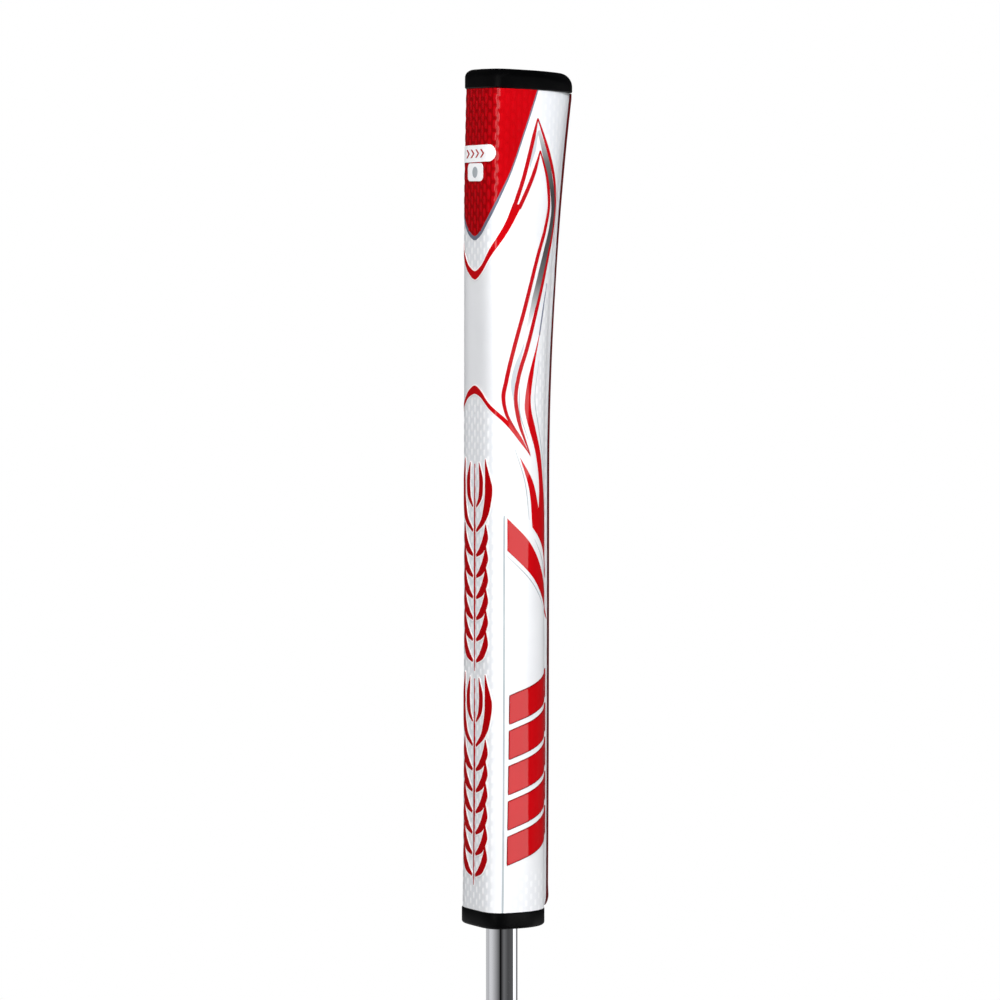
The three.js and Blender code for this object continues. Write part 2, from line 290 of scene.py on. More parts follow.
def half_outline(level, inset=0.0, back=None, ridged=False, samples=900):
    """Points from the middle of the front round the +X side to the middle of the back."""
    half_width, front, rear, waist = section_at(level)
    half_width, front = half_width - inset, front - inset
    rear = rear - inset if back is None else back
    angle = np.linspace(-math.pi / 2, math.pi / 2, samples)
    across = np.clip(np.cos(angle), 0, 1)
    along = np.abs(np.sin(angle))
    bend = 2 / FRONT_EXPONENT
    in_front = angle < 0
    x = half_width * np.where(in_front, across ** bend, across)
    y = np.where(
        in_front,
        waist - (front + waist) * along ** bend,
        waist + (rear - waist) * along,
    )
    if ridged:
        y = y + np.where(in_front, 0, ridge_at(level, x) * along)
    return np.stack([x, y], 1)


def distance_along(points):
    steps = np.linalg.norm(np.diff(points, axis=0), axis=1)
    return np.concatenate([[0], np.cumsum(steps)])


def loop_at(level, half_columns, inset=0.0, back=None, ridged=False):
    """A closed, evenly spaced loop of 2 * half_columns points at one level, leaning with it."""
    points = half_outline(level, inset, back, ridged)
    reach = distance_along(points)
    wanted = np.linspace(0, reach[-1], half_columns + 1)
    x = np.interp(wanted, reach, points[:, 0])
    y = np.interp(wanted, reach, points[:, 1])
    x[0] = x[-1] = 0
    x = np.concatenate([x, -x[-2:0:-1]])
    y = np.concatenate([y, y[-2:0:-1]])
    return np.stack([x, y, height_at(level, y)], 1)


class Wrap:
    """Looks up points of the wrap's outside, and how it faces, from flat coordinates."""

    def __init__(self):
        self.levels = np.arange(0, WRAP_TOP + 2, TABLE_LEVEL_STEP)
        self.around = np.arange(0, TABLE_REACH, TABLE_STEP)
        self.points = np.zeros((len(self.levels), len(self.around), 3))
        self.half_length = np.zeros(len(self.levels))
        for row, level in enumerate(self.levels):
            outline = half_outline(level, ridged=True)
            reach = distance_along(outline)
            self.half_length[row] = reach[-1]
            x = np.interp(self.around, reach, outline[:, 0])
            y = np.interp(self.around, reach, outline[:, 1])
            self.points[row] = np.stack([x, y, height_at(level, y)], 1)
        step_around = np.gradient(self.points, axis=1)
        past = self.around[None, :] > self.half_length[:, None] - TABLE_STEP
        step_around[past] = (-1, 0, 0)
        step_around[:, 0] = (1, 0, 0)
        step_up = np.gradient(self.points, axis=0)
        facing = np.cross(step_around, step_up)
        self.facing = facing / np.linalg.norm(facing, axis=2, keepdims=True)

    def half_length_at(self, level):
        return np.interp(level, self.levels, self.half_length)

    def place(self, a, level, lift):
        """Points in millimetres, lifted off the wrap by lift."""
        size = np.abs(a)
        row = np.clip(level / TABLE_LEVEL_STEP, 0, len(self.levels) - 1.001)
        column = np.clip(size / TABLE_STEP, 0, len(self.around) - 1.001)
        r, c = row.astype(int), column.astype(int)
        up, right = (row - r)[:, None], (column - c)[:, None]

        def blend(table):
            lower = table[r, c] * (1 - right) + table[r, c + 1] * right
            upper = table[r + 1, c] * (1 - right) + table[r + 1, c + 1] * right
            return lower * (1 - up) + upper * up

        spots, facing = blend(self.points), blend(self.facing)
        facing /= np.linalg.norm(facing, axis=1, keepdims=True)
        result = spots + facing * np.reshape(lift, (-1, 1))
        result[:, 0] *= np.where(a < 0, -1, 1)
        return result


wrap = Wrap()


# ---------- curves on the flat wrap ----------

def curve(points, step=CURVE_STEP):
    """A smooth curve through the points, sampled evenly enough for a mesh."""
    points = np.asarray(points, float)
    if len(points) == 2:
        count = max(2, int(np.linalg.norm(points[1] - points[0]) / step) + 1)
        share = np.linspace(0, 1, count)[:, None]
        return points[0] * (1 - share) + points[1] * share
    knots = distance_along(points)
    slopes = np.gradient(points, knots, axis=0)
    wanted = np.linspace(0, knots[-1], max(3, int(knots[-1] / step) + 1))
    index = np.clip(np.searchsorted(knots, wanted, side="right") - 1, 0, len(knots) - 2)
    span = (knots[index + 1] - knots[index])[:, None]
    t = (wanted - knots[index])[:, None] / span
    start, end = points[index], points[index + 1]
    leave, arrive = slopes[index] * span, slopes[index + 1] * span
    return (
        (2 * t**3 - 3 * t**2 + 1) * start
        + (t**3 - 2 * t**2 + t) * leave
        + (3 * t**2 - 2 * t**3) * end
        + (t**3 - t**2) * arrive
    )


def closed(*parts):
    """A closed outline from smooth parts that meet at corners, each given by its points."""
    sampled = [curve(part)[:-1] for part in parts]
    return np.vstack(sampled)


def even(outline, step=CURVE_STEP):
    """A closed outline with points added on its long straight sides."""
    pieces = []
    for start, end in zip(outline, np.roll(outline, -1, axis=0)):
        count = max(1, int(np.ceil(np.linalg.norm(end - start) / step)))
        share = np.arange(count)[:, None] / count
        pieces.append(start * (1 - share) + end * share)
    return np.vstack(pieces)


def mirrored(points):
    return (np.asarray(points, float) * (-1, 1))[::-1]


def across_middle(points):
    """A part that runs from the mirror image of the points' end to the points' end."""
    points = np.asarray(points, float)
    if abs(points[0][0]) < 1e-6:
        return np.vstack([mirrored(points)[:-1], points])
    return np.vstack([mirrored(points), points])


def ribbon(points, widths):
    """Outline of a stroke along a smooth line, its width changing along it."""
    line = curve(points)
    reach = distance_along(line)
    width = np.interp(reach / reach[-1], np.linspace(0, 1, len(widths)), widths)
    heading = np.gradient(line, axis=0)
    heading /= np.linalg.norm(heading, axis=1, keepdims=True)
    side = np.stack([heading[:, 1], -heading[:, 0]], 1) * np.maximum(width, LEAST_STROKE)[:, None] / 2
    return np.vstack([line + side, (line - side)[::-1]])


def signed_area(outline):
    x, y = outline.T
    return 0.5 * np.sum(x * np.roll(y, -1) - y * np.roll(x, -1))


def widened(outline, margin):
    """The outline moved outwards by a margin, with sharp tips kept short."""
    if signed_area(outline) < 0:
        outline = outline[::-1]
    before = outline - np.roll(outline, 1, axis=0)
    after = np.roll(outline, -1, axis=0) - outline
    before /= np.maximum(np.linalg.norm(before, axis=1, keepdims=True), 1e-9)
    after /= np.maximum(np.linalg.norm(after, axis=1, keepdims=True), 1e-9)
    heading = before + after
    heading /= np.maximum(np.linalg.norm(heading, axis=1, keepdims=True), 1e-9)
    outward = np.stack([heading[:, 1], -heading[:, 0]], 1)
    return outline + outward * margin


def inside(points, outline):
    """Which points lie inside a closed outline."""
    x, y = points[:, :1], points[:, 1:]
    x0, y0 = outline.T
    x1, y1 = np.roll(x0, -1), np.roll(y0, -1)
    rise = np.where(y1 == y0, 1e-12, y1 - y0)
    crosses = ((y0 > y) != (y1 > y)) & (x < (x1 - x0) * (y - y0) / rise + x0)
    return crosses.sum(axis=1) % 2 == 1


# Printed shapes, each point (a, level), joined by smooth curves.
FIELD_EDGE = [(0, 214.6), (3.5, 216.0), (7.0, 219.5), (13.4, 231.0), (20.0, 248.5), (24.1, WRAP_TOP)]
V_UPPER = [(0, 204.4), (3.6, 205.8), (8.6, 211.4), (13.3, 218.8), (16.1, 225.4)]
V_LOWER = [(0, 201.8), (4.3, 203.9), (8.6, 208.6), (14.3, 216.3), (19.4, 225.2)]
V_NOTCH = (17.8, 225.0)
SPIKE_LEFT = [(16.3, 223.7), (19.4, 232.4), (21.9, 241.6), (24.4, 251.8)]
SPIKE_RIGHT = [
    (24.4, 251.8), (28.9, 242.1), (34.0, 229.5), (35.0, 224.2), (34.2, 218.4), (31.2, 210.3),
    (25.8, 194.9), (21.2, 180.7), (18.0, 171.0), (17.2, 166.0), (18.2, 158.6), (22.5, 147.4),
]
INNER_LEFT = [(18.2, 223.8), (20.7, 228.8), (23.6, 235.4), (25.7, 241.8)]
INNER_RIGHT = [
    (25.7, 241.8), (29.4, 231.6), (30.3, 224.3), (28.9, 218.2), (25.8, 210.3), (20.6, 193.8),
    (14.0, 170.5), (13.1, 165.8), (14.0, 160.6), (17.6, 154.4),
]
LINE_WIDTH = 1.3
LAMBDA_UPPER = [(0, 168.9), (3.8, 167.4), (7.3, 164.4), (12.1, 160.4), (17.6, 155.2), (22.7, 147.0)]
LAMBDA_LOWER = [(0, 166.3), (3.9, 165.2), (8.1, 162.0), (12.5, 158.4), (19.2, 151.0), (22.7, 147.0)]
LEAF_LEFT = [(18.7, 146.9), (22.3, 136.0), (23.5, 125.0)]
LEAF_RIGHT = [(18.7, 146.9), (23.9, 138.6), (26.7, 130.2)]
LEAF_FOOT = [(23.5, 125.0), (29.2, 118.8), (35.0, 108.6)]
SWOOSH_LEFT = [
    (26.7, 130.2), (27.0, 137.0), (24.8, 148.5), (22.0, 155.8), (20.4, 161.7), (20.9, 167.4),
    (26.8, 185.8),
]
SWOOSH_RIGHT = [
    (26.8, 185.8), (23.9, 173.6), (22.8, 162.0), (24.9, 155.2), (27.6, 148.0), (29.6, 139.6),
    (32.4, 128.3), (35.0, 108.6),
]
SWOOSH_TIP = [(26.5, 184.6), (28.3, 192.4), (30.4, 200.6)]
FIN_UPPER = [(14.4, 128.0), (22.3, 120.4), (29.0, 110.6), (36.4, 95.6)]
FIN_LOWER = [(14.4, 118.0), (22.9, 110.3), (31.6, 100.4), (36.4, 95.6)]
BARS_TOP = [(15.4, 72.8), (26.8, 76.7), (35.2, 80.0)]
BARS_BOTTOM = [(14.8, 20.2), (27.0, 24.6), (35.6, 28.6)]
BAR_COUNT = 5
BAR_GAP = 2.4
SHADOW_LINE = [
    (24.9, 248.0), (30.1, 234.6), (32.4, 228.0), (33.1, 224.0), (32.3, 218.4), (29.4, 210.4),
    (21.3, 187.0),
]
SHADOW_WIDTHS = [1.0, 2.3, 2.3, 2.3, 2.5, 2.6, 2.4, 0.6]
SOFT_LINES = [
    ([(16.9, 163.0), (16.2, 168.6), (20.1, 182.0)], [0.2, 1.4, 1.4, 0.2]),
    ([(21.8, 236.6), (23.2, 242.4), (24.5, 247.4)], [0.2, 1.6, 0.5]),
]
# Lines of painted shade along the raised rims beside the swooshes and the fin, each a list of points.
RIM_SHADE_LINES = [
    [(18.6, 168.8), (18.6, 161.0), (21.6, 152.4)],
    [(26.4, 176.6), (24.6, 164.0), (26.7, 155.4), (31.4, 139.8), (33.6, 129.0)],
    [(16.9, 149.6), (20.4, 139.5), (22.2, 127.4)],
    [(14.4, 116.3), (22.9, 108.4), (31.6, 98.2)],
    [(24.6, 121.2), (30.0, 113.4), (34.4, 104.0)],
]
RIM_SHADE_WIDTH = 0.32
EDGE_WIDTH = 0.45

LINE_TIP = 0.4
FIELD_TIP_WIDTH = 1.3

PILL_HALF_WIDTH = 10.4
PILL_HALF_HEIGHT = 2.6
PILL_LEVEL = 240.6
PILL_RISE = 0.02  # the pill and its chevrons climb a little towards +X
BADGE_HALF_WIDTH = 4.9
BADGE_HALF_HEIGHT = 2.75
BADGE_LEVEL = 234.9
BADGE_CORNER = 1.4
BADGE_DOT_RADIUS = 1.7
CHEVRON_PITCH = 3.1
CHEVRON_START = -6.2
CHEVRON_COUNT = 4
CHEVRON_HALF_HEIGHT = 1.3
CHEVRON_POINT = 1.6
CHEVRON_STROKE = 0.9


# ---------- zones of embossed dashes ----------

def soft_step(value, start, end):
    """Rises smoothly from 0 at the start to 1 at the end."""
    t = ramp(value, start, end)
    return t * t * (3 - 2 * t)


def field_reach(level):
    """How far round from the thumb face's middle the top field reaches."""
    line = curve(FIELD_EDGE)
    return np.interp(level, line[:, 1], line[:, 0], left=BELOW_FIELD, right=line[-1, 0])


def under_v_zone(size, level):
    """1 on the thumb face between the V and the top field."""
    line = curve(V_UPPER)
    v_reach = np.interp(level, line[:, 1], line[:, 0], left=BELOW_FIELD, right=V_TOP_REACH)
    above_v = soft_step(v_reach - size, 0.4, 1.4)
    below_field = soft_step(size - field_reach(level), 0.6, 1.4)
    return above_v * below_field * soft_step(UNDER_V_REACH - size, 0, 2)


def thumb_zone(size, level):
    """1 on the thumb face under the lower band."""
    line = curve(LAMBDA_LOWER)
    band_level = np.interp(size, line[:, 0], line[:, 1])
    under_band = soft_step(band_level - level, 0.5, 2)
    above_ring = soft_step(level, THUMB_BOTTOM, THUMB_BOTTOM + 2)
    return under_band * soft_step(THUMB_REACH - size, 0, 1.8) * above_ring


def low_side_zone(size, level):
    """1 on the side just above the mouth ring."""
    past_corner = soft_step(size - LOW_SIDE_START, 0, 1.5)
    short_of_rib = soft_step(LOW_SIDE_END - size, 0, 3)
    return soft_step(LOW_SIDE_TOP - level, 0, 3) * past_corner * short_of_rib


def strip_zone(size, level):
    """1 on the strip between the side's printed lines and the rib."""
    spike = curve(SPIKE_RIGHT)[::-1]
    swoosh = curve(SWOOSH_RIGHT)[::-1]
    beside_spike = np.interp(level, spike[:, 1], spike[:, 0])
    beside_swoosh = np.interp(level, swoosh[:, 1], swoosh[:, 0], left=PAST_RIB)
    edge = np.where(level > STRIP_BESIDE_SPIKE, beside_spike, beside_swoosh) + STRIP_MARGIN
    beside_field = field_reach(level) + STRIP_FIELD_MARGIN
    edge = np.where(level > STRIP_BESIDE_FIELD, beside_field, edge)
    past_print = soft_step(size - edge, 0, 1.2) * soft_step(level, STRIP_BOTTOM, STRIP_BOTTOM + 10)
    return past_print * soft_step(STRIP_END + STRIP_END_FLARE * flare_at(level) - size, 0, 1.5)


def dash_zone(a, level):
    """How strongly the skin is embossed with dashes: 0 where it is smooth, 1 in the top field."""
    size = np.abs(a)
    return np.clip(
        soft_step(field_reach(level) - size, 0.5, 1.3)
        + UNDER_V_STRENGTH * under_v_zone(size, level)
        + THUMB_STRENGTH * thumb_zone(size, level)
        + STRIP_STRENGTH * strip_zone(size, level)
        + LOW_SIDE_STRENGTH * low_side_zone(size, level),
        0, 1,
    )


def dashes(a, level):
    """1 on a dash and 0 between dashes, as if the whole skin were embossed."""
    column = np.round(a / DASH_PITCH)
    across = np.abs(a - column * DASH_PITCH) / (DASH_WIDTH / 2)
    shifted = level + np.where(column % 2 == 0, 0, DASH_SPACING / 2)
    along = np.abs((shifted / DASH_SPACING) % 1 - 0.5) * DASH_SPACING / (DASH_LENGTH / 2)
    return soft_step(1.25 - across, 0, 0.8) * soft_step(1.12 - along, 0, 0.4)


def relief_shade(a, level):
    """1 on a dash, 0 between dashes and 0.5 where the skin is smooth; it places the painted highlight
    on dashes and the painted shade between them.
    """
    size = np.abs(a)
    field_side = soft_step(field_reach(level) - size, 0, 1) * soft_step(size, SIDE_FROM, SIDE_TO)
    contrast = 1 - SIDE_CONTRAST_LOSS * field_side
    shade = 0.5 + (dashes(a, level) - 0.5) * dash_zone(a, level) * contrast
    near_butt = soft_step(level, STRIP_GREY_FROM, STRIP_GREY_TO)
    return shade - STRIP_GREY * strip_zone(size, level) * near_butt


def emboss(a, level):
    """Height of the skin's relief, in millimetres."""
    relief = DASH_HEIGHT * dashes(a, level) * dash_zone(a, level)
    groove = np.exp(-(((np.abs(a) - GROOVE_AT) / GROOVE_WIDTH) ** 2))
    return relief - GROOVE_DEPTH * groove * soft_step(GROOVE_TOP - level, 0, 2)


# ---------- mesh makers ----------

def make_object(name, points, faces, material, body, nodes=(), sharp=35, relief=None):
    """A piece that rides on a body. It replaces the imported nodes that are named."""
    mesh = bpy.data.meshes.new(name)
    mesh.from_pydata((np.asarray(points) * MM).tolist(), [], faces)
    if relief is not None:
        layer = mesh.attributes.new("relief", "FLOAT", "POINT")
        layer.data.foreach_set("value", np.asarray(relief, np.float32))
    mesh.validate()
    mesh.shade_smooth()
    mesh.set_sharp_from_angle(angle=math.radians(sharp))
    piece = bpy.data.objects.new(name, mesh)
    bpy.context.scene.collection.objects.link(piece)
    mesh.materials.append(material)
    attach(piece, body)
    if nodes:
        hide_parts(*nodes)
    return piece


def row_faces(row_count, columns, looped):
    """Quads between rows of points, outward for rows that rise and turn anticlockwise."""
    column = np.arange(columns)
    bands = np.arange(row_count if looped else row_count - 1)[:, None]
    lower = bands * columns
    upper = ((bands + 1) % row_count) * columns
    following = (column + 1) % columns
    quads = np.stack(
        [lower + column, lower + following, upper + following, upper + column], axis=-1
    )
    return quads.reshape(-1, 4).tolist()


def rows_object(name, rows, material, body, nodes=(), looped=True, sharp=35, relief=None):
    """A solid from rows of equal length: looped like a tyre, or closed at both ends."""
    rows = np.asarray(rows)
    count, columns = rows.shape[:2]
    points = rows.reshape(-1, 3)
    faces = row_faces(count, columns, looped)
    if not looped:
        faces.append(list(range(columns))[::-1])
        faces.append(list(range((count - 1) * columns, count * columns)))
    return make_object(name, points, faces, material, body, nodes, sharp, relief)


def turned_rows(profile, columns):
    """Rows round the Z axis from a [radius, height] profile, listed upwards on the outside."""
    angle = np.arange(columns) * 2 * math.pi / columns
    ring = np.stack([np.cos(angle), np.sin(angle)], 1)
    return [
        np.column_stack([ring * radius, np.full(columns, float(height))])
        for radius, height in profile
    ]


def patch_mesh(outline, lift, relief, spacing):
    """Points, faces and relief shades of one thin body on the wrap, inside a flat outline."""
    low, high = outline.min(axis=0), outline.max(axis=0)
    grid_a = np.arange(low[0] + spacing[0] / 2, high[0], spacing[0])
    grid_level = np.arange(low[1] + spacing[1] / 2, high[1], spacing[1])
    grid = np.stack(np.meshgrid(grid_a, grid_level), -1).reshape(-1, 2)
    grid = grid[inside(grid, outline)] if len(grid) else grid
    if len(grid):
        gap = np.linalg.norm(grid[:, None, :] - outline[None, :, :], axis=2).min(axis=1)
        grid = grid[gap > BORDER_CLEARANCE * spacing[0]]
    flat = np.vstack([outline, grid])
    border = [list(range(len(outline)))]
    spots, _, triangles, *_ = delaunay_2d_cdt([Vector(p) for p in flat], [], border, 1, 1e-6)
    flat = np.array([tuple(p) for p in spots])
    a, level = flat.T
    raised = lift + (emboss(a, level) if relief else 0 * a)
    top = wrap.place(a, level, raised)
    bottom = wrap.place(a, level, np.full(len(a), -PATCH_SINK))
    count = len(flat)
    faces, edges = [], set()
    for corners in triangles:
        if signed_area(flat[corners]) < 0:
            corners = corners[::-1]
        corners = list(corners)
        faces.append(corners)
        faces.append([count + i for i in corners[::-1]])
        edges.update(zip(corners, corners[1:] + corners[:1]))
    for start, end in sorted(edges):
        if (end, start) not in edges:
            faces.append([count + start, count + end, end, start])
    return np.vstack([top, bottom]), faces, np.tile(relief_shade(a, level), 2)


def printed(name, outlines, material, lift=LIFT_PRINT, both_sides=True, relief=False,
            spacing=PATCH_SPACING):
    """A printed shape, or a line of painted shade, as thin bodies on the wrap, mirrored to the other
    side if both_sides.
    """
    points, faces, shades = [], [], []
    total = 0
    copies = [*outlines, *(mirrored(o) for o in outlines)] if both_sides else outlines
    for outline in copies:
        spots, patch_faces, shade = patch_mesh(np.asarray(outline), lift, relief, spacing)
        points.append(spots)
        shades.append(shade)
        faces += [[total + i for i in face] for face in patch_faces]
        total += len(spots)
    return make_object(name, np.vstack(points), faces, material, "grip", sharp=40,
                       relief=np.concatenate(shades))


# ---------- materials ----------

def new_material(name):
    material = bpy.data.materials.new(name)
    material.use_nodes = True
    nodes = material.node_tree.nodes
    return material, nodes, material.node_tree.links, nodes["Principled BSDF"]


def noise(nodes, links, coordinates, scale, detail=3.0, stretch=None):
    """A noise texture on object coordinates, scale in cells a metre."""
    texture = nodes.new("ShaderNodeTexNoise")
    texture.inputs["Scale"].default_value = scale
    texture.inputs["Detail"].default_value = detail
    source = coordinates
    if stretch:
        mapping = nodes.new("ShaderNodeMapping")
        mapping.inputs["Scale"].default_value = stretch
        links.new(coordinates, mapping.inputs["Vector"])
        source = mapping.outputs["Vector"]
    links.new(source, texture.inputs["Vector"])
    return texture.outputs["Fac"]


def spread(nodes, links, value, low, high, start=0.3, end=0.7):
    """A number that runs from low to high as the value runs from start to end."""
    node = nodes.new("ShaderNodeMapRange")
    node.inputs["From Min"].default_value = start
    node.inputs["From Max"].default_value = end
    node.inputs["To Min"].default_value = low
    node.inputs["To Max"].default_value = high
    links.new(value, node.inputs["Value"])
    return node.outputs["Result"]


def tint(nodes, links, value, first, second):
    """A colour that runs from first to second as the value runs from 0.3 to 0.7."""
    node = nodes.new("ShaderNodeValToRGB")
    node.color_ramp.elements[0].position = 0.3
    node.color_ramp.elements[0].color = (*first, 1)
    node.color_ramp.elements[1].position = 0.7
    node.color_ramp.elements[1].color = (*second, 1)
    links.new(value, node.inputs["Fac"])
    return node.outputs["Color"]


def grey_ramp(nodes, stops, cast):
    """A colour ramp from stops, each (place, brightness), with a slight colour cast."""
    node = nodes.new("ShaderNodeValToRGB")
    elements = node.color_ramp.elements
    while len(elements) < len(stops):
        elements.new(0.5)
    first, last = stops[0][0], stops[-1][0]
    for element, (place, brightness) in zip(elements, stops):
        element.position = (place - first) / (last - first)
        element.color = (*(brightness * share for share in cast), 1)
    return node


def seen_and_unseen(nodes, links, seen, unseen):
    """One shader for what the camera sees and another for light and reflections."""
    mix = nodes.new("ShaderNodeMixShader")
    path = nodes.new("ShaderNodeLightPath")
    links.new(path.outputs["Is Camera Ray"], mix.inputs["Fac"])
    links.new(unseen, mix.inputs[1])
    links.new(seen, mix.inputs[2])
    return mix.outputs["Shader"]


def dash_highlight_and_shade(nodes, links, colour, raised, shaded_ground):
    """The colour, turning to the raised colour, a painted highlight, or to the shaded_ground colour,
    painted shade, as the mesh's relief shade says.
    """
    relief = nodes.new("ShaderNodeAttribute")
    relief.attribute_name = "relief"
    for end, other in ((1, raised), (0, shaded_ground)):
        mix = nodes.new("ShaderNodeMix")
        mix.data_type = "RGBA"
        links.new(spread(nodes, links, relief.outputs["Fac"], 0, 1, 0.5, end), mix.inputs["Factor"])
        links.new(colour, mix.inputs["A"])
        mix.inputs["B"].default_value = (*other, 1)
        colour = mix.outputs["Result"]
    return colour


def bump(nodes, links, height, distance, strength=1.0, under=None):
    node = nodes.new("ShaderNodeBump")
    node.inputs["Strength"].default_value = strength
    node.inputs["Distance"].default_value = distance * MM
    links.new(height, node.inputs["Height"])
    if under is not None:
        links.new(under, node.inputs["Normal"])
    return node.outputs["Normal"]


def finish(name, first, second, roughness, grain_scale, grain_depth, patch_scale=60, metallic=0.0,
           coat=0.0, coat_roughness=0.2, specular=0.5, stretch=None, cells=None, sheen=0.0,
           raised=None, shaded_ground=None):
    """A procedural finish: two close colours in soft patches, uneven roughness and fine grain.

    roughness is (low, high); grain_depth and cell depth are in millimetres; cells is (cells a
    metre, depth) for a pebbled surface under the grain; raised and shaded_ground are the colours
    of embossed dashes and of the skin between them, a painted highlight on the dashes and
    painted shade between them.
    """
    material, nodes, links, shader = new_material(name)
    coordinates = nodes.new("ShaderNodeTexCoord").outputs["Object"]
    patches = noise(nodes, links, coordinates, patch_scale)
    colour = tint(nodes, links, patches, first, second)
    if raised:
        colour = dash_highlight_and_shade(nodes, links, colour, raised, shaded_ground)
    links.new(colour, shader.inputs["Base Color"])
    uneven = noise(nodes, links, coordinates, patch_scale * 4, stretch=stretch)
    links.new(spread(nodes, links, uneven, *roughness), shader.inputs["Roughness"])
    normal = None
    if cells:
        pebbles = nodes.new("ShaderNodeTexVoronoi")
        pebbles.feature = "SMOOTH_F1"
        pebbles.inputs["Scale"].default_value = cells[0]
        links.new(coordinates, pebbles.inputs["Vector"])
        normal = bump(nodes, links, pebbles.outputs["Distance"], cells[1], 1.0)
    grain = noise(nodes, links, coordinates, grain_scale, stretch=stretch)
    links.new(bump(nodes, links, grain, grain_depth, 1.0, normal), shader.inputs["Normal"])
    shader.inputs["Metallic"].default_value = metallic
    shader.inputs["Specular IOR Level"].default_value = specular
    shader.inputs["Coat Weight"].default_value = coat
    shader.inputs["Coat Roughness"].default_value = coat_roughness
    shader.inputs["Sheen Weight"].default_value = sheen
    return material


# On the white skin the raised colour is a painted highlight on the embossed dashes, and the
# shaded_ground colour is painted shade between them.
white_skin = finish("white_skin", (0.75, 0.76, 0.785), (0.80, 0.81, 0.83), (0.42, 0.54),
                    2600, 0.02, cells=(1500, 0.02), specular=0.3, coat=0.4, coat_roughness=0.12,
                    raised=(0.94, 0.95, 0.965), shaded_ground=(0.73, 0.75, 0.785))
print_red = finish("print_red", (0.47, 0.0008, 0.003), (0.51, 0.001, 0.004), (0.34, 0.42),
                   2600, 0.004, coat=0.8, coat_roughness=0.07, specular=0.03)
# The top field's lighter raised and darker shaded_ground colours likewise paint highlight and shade
# on its dashes.
field_red = finish("field_red", (0.44, 0.0006, 0.003), (0.48, 0.0008, 0.004), (0.4, 0.5),
                   2600, 0.01, coat=0.4, coat_roughness=0.12, specular=0.03,
                   raised=(0.39, 0.003, 0.008), shaded_ground=(0.25, 0.0005, 0.002))
line_red = finish("line_red", (0.40, 0.003, 0.006), (0.44, 0.004, 0.008), (0.34, 0.42),
                  2600, 0.004, coat=0.3, coat_roughness=0.15, specular=0.03)
deep_red = finish("deep_red", (0.34, 0.0006, 0.002), (0.38, 0.0008, 0.003), (0.38, 0.48),
                  2600, 0.004, specular=0.03)
border_red = finish("border_red", (0.16, 0.0006, 0.002), (0.20, 0.0008, 0.003), (0.38, 0.48),
                    2600, 0.004, specular=0.03)
pale_rim = finish("pale_rim", (0.90, 0.86, 0.86), (0.93, 0.89, 0.89), (0.4, 0.5), 2600, 0.008,
                  specular=0.3)
badge_white = finish("badge_white", (0.90, 0.91, 0.93), (0.93, 0.94, 0.95), (0.38, 0.48),
                     2600, 0.008, specular=0.3)
# Grey for the badge's printed dot, and painted shade along the side's raised rims.
grey_print_and_rim_shade = finish("grey_print_and_rim_shade", (0.34, 0.37, 0.40), (0.40, 0.43, 0.46), (0.4, 0.5), 2600, 0.008,
                  specular=0.3)
soft_grey = finish("soft_grey", (0.47, 0.50, 0.54), (0.54, 0.57, 0.61), (0.4, 0.5), 2600, 0.008,
                   specular=0.3)
# Painted shade for the groove down the corner.
groove_shade_grey = finish("groove_shade_grey", (0.36, 0.40, 0.43), (0.42, 0.46, 0.49), (0.5, 0.6), 2600, 0.008,
                     specular=0.2)
edge_grey = finish("edge_grey", (0.12, 0.13, 0.18), (0.16, 0.17, 0.23), (0.4, 0.5), 2600, 0.008,
                   specular=0.2)
# The rib's red is far darker than the moulding's own red: painted shade for the rib's flank, which is
# seen in shade.
spine_red_shaded = finish("spine_red_shaded", (0.075, 0.0005, 0.001), (0.095, 0.0006, 0.002), (0.34, 0.46),
                   1800, 0.008, coat=0.15, coat_roughness=0.25, specular=0.15)
end_rubber = finish("end_rubber", (0.0005, 0.0005, 0.0006), (0.0010, 0.0010, 0.0012), (0.42, 0.52),
                    3200, 0.015, cells=(1800, 0.01), specular=0.16)
gasket_rubber = finish("gasket_rubber", (0.005, 0.005, 0.006), (0.008, 0.008, 0.009), (0.4, 0.5),
                       3600, 0.006, specular=0.3)
plug_nylon = finish("plug_nylon", (0.010, 0.010, 0.011), (0.015, 0.015, 0.016), (0.38, 0.5),
                    3000, 0.012)
insert_metal = finish("insert_metal", (0.55, 0.56, 0.58), (0.66, 0.67, 0.69), (0.22, 0.36),
                      900, 0.008, metallic=1.0, stretch=(1, 1, 14))
chrome = finish("shaft_chrome", (0.90, 0.91, 0.93), (0.93, 0.94, 0.96), (0.03, 0.06),
                500, 0.0006, metallic=1.0, patch_scale=25, stretch=(1, 1, 0.15))
felt = finish("felt", (0.22, 0.23, 0.25), (0.30, 0.31, 0.33), (0.85, 0.98), 1600, 0.12, sheen=0.3,
              cells=(900, 0.06))
foam = finish("foam", (0.035, 0.037, 0.04), (0.055, 0.057, 0.061), (0.8, 0.95), 900, 0.05,
              cells=(1400, 0.15))
tape = finish("tape", (0.62, 0.55, 0.36), (0.72, 0.66, 0.46), (0.7, 0.85), 1400, 0.03,
              stretch=(1, 1, 9))


# Shade of the spike's shadow, each (height in metres, shade).
SHADOW_FADE = [
    (0.186, 0.75), (0.193, 0.42), (0.201, 0.13), (0.21, 0.06), (0.228, 0.04), (0.238, 0.12),
    (0.2475, 0.5),
]


